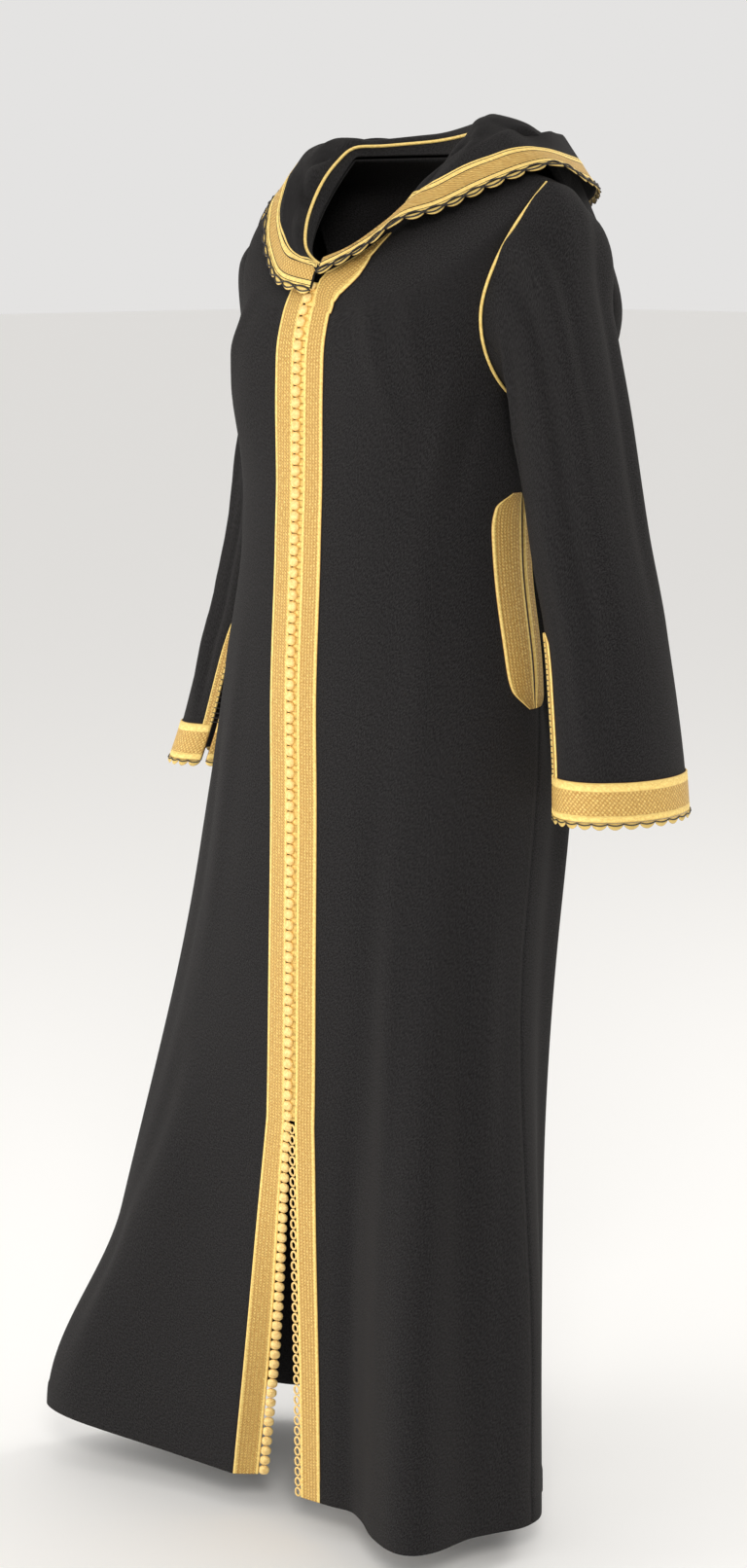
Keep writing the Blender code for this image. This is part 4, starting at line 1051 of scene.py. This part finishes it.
def hoodSurface(station, place):
    station, place = together(station, place)
    values = ease(hoodValues, hoodSlopes, station)
    row = {name: values[..., k] for k, name in enumerate(hood["columns"])}
    neck = body["rings"]["neck"]
    distance, along = polarReach(neck, row["angle"])
    endZ = np.where(np.cos(np.radians(row["angle"])) > 0, neck[1], neck[2])
    seam = np.stack([distance, neck[0] + (endZ - neck[0]) * along + 0.0012], -1)
    ridge = np.stack([row["ridgeR"], row["ridgeZ"]], -1)
    roll = np.stack([row["rollR"], row["rollZ"]], -1)
    chest = polarReach(body["rings"]["chest"], row["angle"])[0]
    full = np.clip(row["bag"], 0.0, 1.0)
    points = [seam, ridge]
    for share, off, low, outPower, downPower in hood["pouch"]:
        straight = ridge + (roll - ridge) * share
        r = straight[..., 0] + (chest + off - straight[..., 0]) * full ** outPower
        z = straight[..., 1] + (low - straight[..., 1]) * full ** downPower
        points.append(np.stack([r, z], -1))
    points += [roll, np.stack([row["edgeR"], row["edgeZ"]], -1)]
    table = np.stack(points, 0)
    tangents = slopesOf(table)
    index = np.clip(np.floor(place).astype(int), 0, 5)
    t = (place - index)[..., None]
    pick = np.indices(index.shape)
    a, b = table[(index, *pick)], table[(index + 1, *pick)]
    ta, tb = tangents[(index, *pick)], tangents[(index + 1, *pick)]
    polar = a + (b - a) * (3 - 2 * t) * t * t + ta * t * (1 - t) ** 2 - tb * (1 - t) * t * t
    turn = np.radians(row["angle"])
    result = np.stack([polar[..., 0] * np.sin(turn), -polar[..., 0] * np.cos(turn), polar[..., 1]], -1)
    flat, places = result.reshape(-1, 3), place.ravel()
    for k in np.nonzero(places > 1.2)[0]:
        clear = hood["rest"] + hood["pouchRest"] * math.exp(-((places[k] - 2.1) / 0.8) ** 2)
        point = Vector(flat[k])
        near, normal = form.find_nearest(point)[:2]
        offset = point - near
        if not (offset.dot(normal) > -1e-6 and offset.length > clear):
            flat[k] = near + normal * clear
    return flat.reshape(result.shape)


def hoodFoldHeight(station, place):
    height = np.zeros(np.broadcast(station, place).shape)
    for middle, drift, spread, strongest, reach, tall in hoodFolds:
        away = (station - middle - drift * (place - strongest)) / spread
        height = height + tall * np.exp(-away ** 2) * np.exp(-((place - strongest) / reach) ** 2)
    return height * stepBetween(place, 0.0, 0.5)


def hoodCloth(station, place):  # rows by place and columns by station, with the cloth's upper face
    points = hoodSurface(station, place)
    for _ in range(3):  # eases the corners where the hood lies on the body
        soft = points.copy()
        soft[1:-1] = (points[:-2] + 2 * points[1:-1] + points[2:]) / 4
        soft[:, 1:-1] = (soft[:, :-2] + 2 * soft[:, 1:-1] + soft[:, 2:]) / 4
        points = soft
    along, out = np.gradient(points, axis=1), np.gradient(points, axis=0)
    normals = unit(np.cross(along, out))
    lift = body["wall"] + hoodFoldHeight(station, place)
    return points + normals * lift[..., None], normals


def makeHood():
    station = np.linspace(0.0, lastStation, hood["across"])[None, :]
    place = np.linspace(0.0, 6.0, hood["rows"])[:, None]
    points, normals = hoodCloth(station + 0 * place, place + 0 * station)
    piece = giveWall(gridPiece("hoodCloth", points, hoodCrepe, normals), body["wall"])
    return piece, points, normals


hoodPiece, hoodPoints, hoodNormals = makeHood()
print("hood ready")


def hoodStrip(samples, distances):
    # Points at the given distances above the hood's edge (below it where negative), evenly spaced along it
    edge = hoodPoints[-1]
    length = np.concatenate([[0.0], np.cumsum(np.linalg.norm(np.diff(edge, axis=0), axis=-1))])
    where = np.linspace(0.0, length[-1], samples)
    columns = np.interp(where, length, np.arange(len(edge)))
    low = np.clip(np.floor(columns).astype(int), 0, len(edge) - 2)
    part = (columns - low)[None, :, None]
    strand = hoodPoints[:, low] * (1 - part) + hoodPoints[:, low + 1] * part
    face = unit(hoodNormals[:, low] * (1 - part) + hoodNormals[:, low + 1] * part)
    strand, face = strand[::-1], face[::-1]  # from the edge inwards
    steps = np.linalg.norm(np.diff(strand, axis=0), axis=-1)
    walked = np.concatenate([np.zeros((1, samples)), np.cumsum(steps, axis=0)])
    beyond = unit(strand[0] - strand[3])
    points = np.zeros((samples, len(distances), 3))
    hints = np.zeros_like(points)
    for k in range(samples):
        for axis in range(3):
            points[k, :, axis] = np.interp(distances, walked[:, k], strand[:, k, axis])
            hints[k, :, axis] = np.interp(distances, walked[:, k], face[:, k, axis])
        for j, distance in enumerate(distances):
            if distance < 0:
                points[k, j] = strand[0, k] - beyond[k] * distance
    return points, unit(hints)


def scallopDepth(part, deep, valley=0.0015):
    return valley + (deep - valley) * np.abs(np.sin(np.pi * part)) ** 0.62


def picotStrip(name, edge, beyond, hint, count, deep, material, lift):
    # A row of lens-shaped picots: edge points with the direction in which they hang
    samples = len(edge)
    part = np.linspace(0.0, count, samples)
    rows = 7
    share = shares(rows)[None, :, None]
    depth = scallopDepth(part, deep)[:, None, None]
    points = edge[:, None] + beyond[:, None] * depth * share
    crown = np.sin(np.pi * shares(rows))[None, :] ** 0.7
    dome = (np.abs(np.sin(np.pi * part)) ** 0.6)[:, None] * crown
    ray = 0.8 + 0.2 * np.abs(np.sin(np.pi * part * 7))[:, None]
    height = lift + 0.0004 + 0.0014 * dome * ray
    # painted shade: the valleys between the picots and their edges get a low mask, so they take the dark gold
    # colour
    mask = np.clip(0.15 + dome * ray, 0, 1)
    points = points + hint[:, None] * height[..., None]
    hints = np.repeat(hint[:, None], rows, 1)
    return gridPiece(name, points, material, hints, relief=mask, stitch=0 * mask)


hoodThread = {"middle": 0.0022, "swing": 0.0027, "lift": 0.0026, "radius": 0.0008}


def crossedThreads(name, edge, beyond, hint, scallops):
    # Two black threads that wave along the edge and cross between the picots
    part = shares(len(edge), scallops)
    made = []
    for sign in (-1, 1):
        offset = hoodThread["middle"] + sign * hoodThread["swing"] * np.sin(np.pi * part)
        over = 0.0007 * sign * np.cos(np.pi * part)
        dome = 0.0012 * np.abs(np.sin(np.pi * part))
        points = edge + beyond * offset[:, None] + hint * (hoodThread["lift"] + over + dome * 0.4)[:, None]
        label = name + ("Upper" if sign < 0 else "Lower")
        made.append(tubePiece(label, points, hoodThread["radius"], blackCord, count=6))
    return made


def makeHoodBand():
    samples = hood["scallops"] * 12 + 1
    distances = np.linspace(hood["band"], 0.0, 34)
    points, hints = hoodStrip(samples, distances)
    band = braidStrip("hoodEdgeBand", points, hints, bandRelief, hood["band"], satinGold, lift=0.0006)
    edge, hint = points[:, -1], hints[:, -1]
    beyond = unit(points[:, -1] - points[:, -4])
    picots = picotStrip("hoodPicots", edge, beyond, hint, hood["scallops"], 0.0068, satinGold, 0.0008)
    threads = crossedThreads("hoodEdgeThread", edge, beyond, hint, hood["scallops"])
    return band, picots, threads


hoodBand, hoodPicots, hoodThreads = makeHoodBand()
print("hood band ready")

# Cuff bands
cuff = {"width": 0.039, "scallops": 26, "samples": 12, "columns": 36, "lift": 0.0007}


def makeCuff(side, name):
    samples = cuff["scallops"] * cuff["samples"] + 1
    half = slitHalfAt(sleeve["cuff"]) + 0.2
    share = shares(samples)[:, None]
    angles = sleeve["slitAngle"] + half + (360.0 - 2 * half) * share
    rows = np.linspace(sleeve["bandTop"], sleeve["cuff"], cuff["columns"])[None, :]
    points = sleevePoint(side, rows, angles, 0.0)
    hint = sleeveNormal(side, rows + 0 * angles, angles + 0 * rows)
    width, lift = cuff["width"], cuff["lift"]
    band = braidStrip("cuffBand" + name, points, hint, bandRelief, width, satinGold, lift=lift)
    edge, face = points[:, -1], hint[:, -1]
    beyond = unit(points[:, -1] - points[:, -4])
    picots = picotStrip("cuffPicots" + name, edge, beyond, face, cuff["scallops"], 0.0066, satinGold, 0.0008)
    part = np.linspace(0.0, cuff["scallops"], samples)
    zigzag = 0.0006 + 0.0016 * np.abs(np.sin(np.pi * part))
    line = edge + beyond * zigzag[:, None] + face * 0.0028
    thread = tubePiece("cuffThread" + name, line, 0.00065, blackCord, count=6)
    return band, picots, thread


cuffs = {side: makeCuff(side, name) for side, name in sides}
print("cuffs ready")

# Sleeve slit: a narrow braid on each edge, joined by black cross stitches
def slitRelief(across, along, width):
    outer, inner = rib(across, 1.3, 1.3), rib(across, width - 1.3, 1.3)
    local = (across - 2.6) / (width - 5.2)
    inside = (local > 0) & (local < 1)
    mask = np.where(inside, 0.7, np.maximum(outer, inner))
    return 0.0004 + 0.0011 * mask, mask, inside.astype(float)


def slitEdgeAngle(row, end):
    half = slitHalfAt(row)
    return sleeve["slitAngle"] + (half if end == "back" else -half)


def makeSlitTrim(side, end, name):
    rows = np.linspace(sleeve["slitTop"] + 0.02, sleeve["bandTop"] + 0.02, 150)[:, None]
    width = np.clip((rows - sleeve["slitTop"]) / 0.16, 0.15, 1.0) ** 0.6
    sign = 1.0 if end == "back" else -1.0
    share = shares(14)[None, :]
    angles = slitEdgeAngle(rows, end) + sign * (sleeve["trimAngle"] * width) * share
    points = sleevePoint(side, rows, angles, 0.0)
    hint = sleeveNormal(side, rows + 0 * angles, angles)
    return braidStrip(name, points, hint, slitRelief, 0.013, braidGold, lift=0.0005)


def makeLadder(side, name):  # black stitches that cross the slit
    places = np.linspace(sleeve["slitTop"] + 0.15, sleeve["bandTop"] - 0.05, 24)
    rungs = []
    for place in places:
        front, back = slitEdgeAngle(place, "front") - 2.6, slitEdgeAngle(place, "back") + 2.6
        share = shares(7)
        angle = front + (back - front) * share
        lift = 0.0019 + 0.0006 * np.sin(np.pi * share)
        points = sleevePoint(side, place + 0.012 * share, angle, lift)
        rungs.append(tubePiece("rung", points, 0.00055, blackCord, count=5))
    return joined(name, rungs)


slitTrims = {}
ladders = {}
for side, name in sides:
    for end in ("front", "back"):
        slitTrims[side, end] = makeSlitTrim(side, end, end + "SlitTrim" + name)
    ladders[side] = makeLadder(side, "slitLadder" + name)
print("sleeve slits ready")

# Pocket trims: a leaf of braid round the hand slit in the side seam, each edge by level and angle
pocket = {
    "Front": ((4.63, 85.0), (4.73, 77.0), (4.87, 75.5), (5.10, 76.0), (5.50, 76.5), (5.90, 77.5),
              (6.03, 79.0), (6.20, 86.5)),
    "Back": ((4.63, 89.0), (4.74, 95.0), (4.88, 97.0), (5.10, 98.0), (5.50, 98.0), (5.90, 97.0),
             (6.04, 95.5), (6.20, 89.4)),
    "slot": 88.3,
    "slotHalf": 0.35,
    "across": 26,
}


def leafEdge(rows, level):
    table = np.array(rows)
    slopes = slopesOf(table)
    fine = ease(table, slopes, np.linspace(0, len(table) - 1.0, 400))
    return np.interp(level, fine[:, 0], fine[:, 1])


def makePocket(side, name):
    level = np.linspace(4.635, 6.195, 170)[:, None]
    made = []
    for half, sign in (("Front", -1), ("Back", 1)):
        outer = leafEdge(pocket[half], level)
        inner = pocket["slot"] + sign * pocket["slotHalf"]
        share = shares(pocket["across"])[None, :]
        angles = side * (inner + (outer - inner) * share)
        points = bodySurface(level + 0 * angles, angles)
        hint = bodyNormal(level + 0 * angles, angles)
        label = "pocketTrim" + half + name
        made.append(braidStrip(label, points, hint, braidRelief, placket["braid"], braidGold))
    # painted shadow: a thin black cord along the slot stands in for the shadow in the slit's opening
    line = bodyPoint(level[:, 0], np.full(len(level), side * pocket["slot"]), np.full(len(level), 0.0006))
    made.append(tubePiece("pocketSlotShadow" + name, line, 0.0007, blackCord, count=6))
    return made


pockets = {side: makePocket(side, name) for side, name in sides}
print("pocket trims ready")

# Cords along the armholes and the neck seam
cord = {"radius": 0.0016, "gap": 0.0006}


def makeArmholeCord(side, name):
    angle = np.linspace(0.0, 360.0, 181)[:-1]
    outward = sleeveNormal(side, np.full(len(angle), 0.3), angle)
    around = angle / 180.0
    front = around <= 1.0
    level = shoulderLevel + (armpitLevel - shoulderLevel) * np.where(front, around, 2.0 - around)
    at = np.where(front, sideAngle(level, body["frontBite"]), 180.0 - sideAngle(level, body["backBite"]))
    normal = bodyNormal(level, side * at)
    between = unit(normal + outward)
    reach = (cord["radius"] + cord["gap"]) / np.maximum(np.sum(between * normal, -1), 0.5)
    points = bodySurface(level, side * at) + between * reach[:, None]
    return tubePiece(name, points, cord["radius"], cordGold, count=8, closed=True)


armholeCords = {side: makeArmholeCord(side, "armholeCord" + name) for side, name in sides}
neckRow = int(0.09 * hood["rows"])
neckLine = hoodPoints[neckRow] + hoodNormals[neckRow] * (cord["radius"] + 0.0008)
for _ in range(12):  # eases its corners
    neckLine[1:-1] = (neckLine[:-2] + 2 * neckLine[1:-1] + neckLine[2:]) / 4
neckCord = tubePiece("neckCord", neckLine[::2], cord["radius"], cordGold, count=8)
print("cords ready")

# What stands for what
standsFor = {
    "back": [panels["Back"]],
    "front_right": [panels["Right"]],
    "front_left": [panels["Left"]],
    "sleeve_right": [sleeves[-1]],
    "sleeve_left": [sleeves[1]],
    "hood": [hoodPiece],
    "hood_band": [hoodBand, hoodPicots, *hoodThreads],
    "neck_cord": [neckCord],
    "knots": [knots],
    "loops_closed": [loopsClosed],
    "loops_open": [loopsOpen],
    "placket_right": [plackets[-1]],
    "placket_left": [plackets[1], neckBraid],
    "cuff_right": list(cuffs[-1]),
    "cuff_left": list(cuffs[1]),
    "slit_front_right": [slitTrims[-1, "front"], ladders[-1]],
    "slit_back_right": [slitTrims[-1, "back"]],
    "slit_front_left": [slitTrims[1, "front"], ladders[1]],
    "slit_back_left": [slitTrims[1, "back"]],
    "pocket_right": pockets[-1],
    "pocket_left": pockets[1],
    "armhole_cord_right": [armholeCords[-1]],
    "armhole_cord_left": [armholeCords[1]],
}
for nodeName, made in standsFor.items():
    for piece in made:
        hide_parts(nodeName)
        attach(piece, "root")

# Cloth: flat cut in metres round the outside of each form, area, what it hangs from, and the nodes sewn on it
sheets = (
    (panels["Back"], (0.76, 1.36), 0.729, (), ()),
    (panels["Right"], (0.38, 1.37), 0.405, ("back",), ("placket_right", "knots", "pocket_right")),
    (panels["Left"], (0.34, 1.38), 0.354, ("back",),
     ("placket_left", "loops_closed", "loops_open", "pocket_left")),
    (sleeves[-1], (0.43, 0.60), 0.192, ("back", "front_right"),
     ("cuff_right", "slit_front_right", "slit_back_right", "armhole_cord_right")),
    (sleeves[1], (0.43, 0.60), 0.191, ("back", "front_left"),
     ("cuff_left", "slit_front_left", "slit_back_left", "armhole_cord_left")),
    (hoodPiece, (0.66, 0.56), 0.298, ("back", "front_right", "front_left"), ("hood_band", "neck_cord")),
)
for piece, flat, area, hangsFrom, sewnOn in sheets:
    sewn = [other for nodeName in sewnOn for other in standsFor[nodeName]]
    list(hangsFrom)

# Room: pale floor, soft studio light, the photograph's camera
studio = {
    "floorZ": -1.372,
    "floor": (0.94, 0.93, 0.91),
    "world": (0.97, 0.96, 0.95),
    "worldStrength": 0.80,
    "lights": (  # place, target, size, watts, colour
        ((3.2, -3.0, 1.7), (0.0, 0.0, -0.6), 1.4, 84.0, (1.0, 0.98, 0.95)),
        ((-2.0, -3.0, -0.7), (0.0, 0.0, -1.25), 2.2, 74.0, (1.0, 0.99, 0.97)),
        ((1.0, 3.0, 2.0), (0.0, 0.0, -0.4), 1.6, 40.0, (1.0, 0.99, 0.97)),
    ),
    "camera": (2.38861, -2.35679, -0.07055),
    "aim": (-0.025, -0.026, -0.62),
    "lens": 77.717,
}


def makeFloor():
    form = bmesh.new()
    bmesh.ops.create_grid(form, x_segments=1, y_segments=1, size=40.0)
    bmesh.ops.translate(form, verts=list(form.verts), vec=(0.0, 0.0, studio["floorZ"]))
    mesh = bpy.data.meshes.new("floor")
    form.to_mesh(mesh)
    form.free()
    paper = bpy.data.materials.new("floorPaper")
    paper.use_nodes = True
    shader = paper.node_tree.nodes["Principled BSDF"]
    shader.inputs["Base Color"].default_value = (*studio["floor"], 1.0)
    shader.inputs["Roughness"].default_value = 0.9
    mesh.materials.append(paper)
    piece = bpy.data.objects.new("floor", mesh)
    bpy.context.scene.collection.objects.link(piece)


def pointAt(thing, place, aim):
    thing.location = place
    thing.rotation_euler = (Vector(aim) - Vector(place)).to_track_quat("-Z", "Y").to_euler()


def makeStudio():
    makeFloor()
    world = bpy.data.worlds.new("studioWorld")
    world.use_nodes = True
    ground = world.node_tree.nodes["Background"]
    ground.inputs["Color"].default_value = (*studio["world"], 1.0)
    ground.inputs["Strength"].default_value = studio["worldStrength"]
    bpy.context.scene.world = world
    for index, (place, aim, size, watts, colour) in enumerate(studio["lights"]):
        lamp = bpy.data.lights.new(f"softLight{index}", "AREA")
        lamp.shape = "DISK"
        lamp.size = size
        lamp.energy = watts
        lamp.color = colour
        holder = bpy.data.objects.new(f"softLight{index}", lamp)
        pointAt(holder, place, aim)
        bpy.context.scene.collection.objects.link(holder)
    lens = bpy.data.cameras.new("photoCamera")
    lens.sensor_fit = "AUTO"
    lens.sensor_width = 36.0
    lens.lens = studio["lens"]
    lens.clip_start, lens.clip_end = 0.1, 60.0
    viewer = bpy.data.objects.new("photoCamera", lens)
    pointAt(viewer, studio["camera"], studio["aim"])
    bpy.context.scene.collection.objects.link(viewer)
    bpy.context.scene.camera = viewer
    bpy.context.scene.view_settings.view_transform = "Standard"


makeStudio()
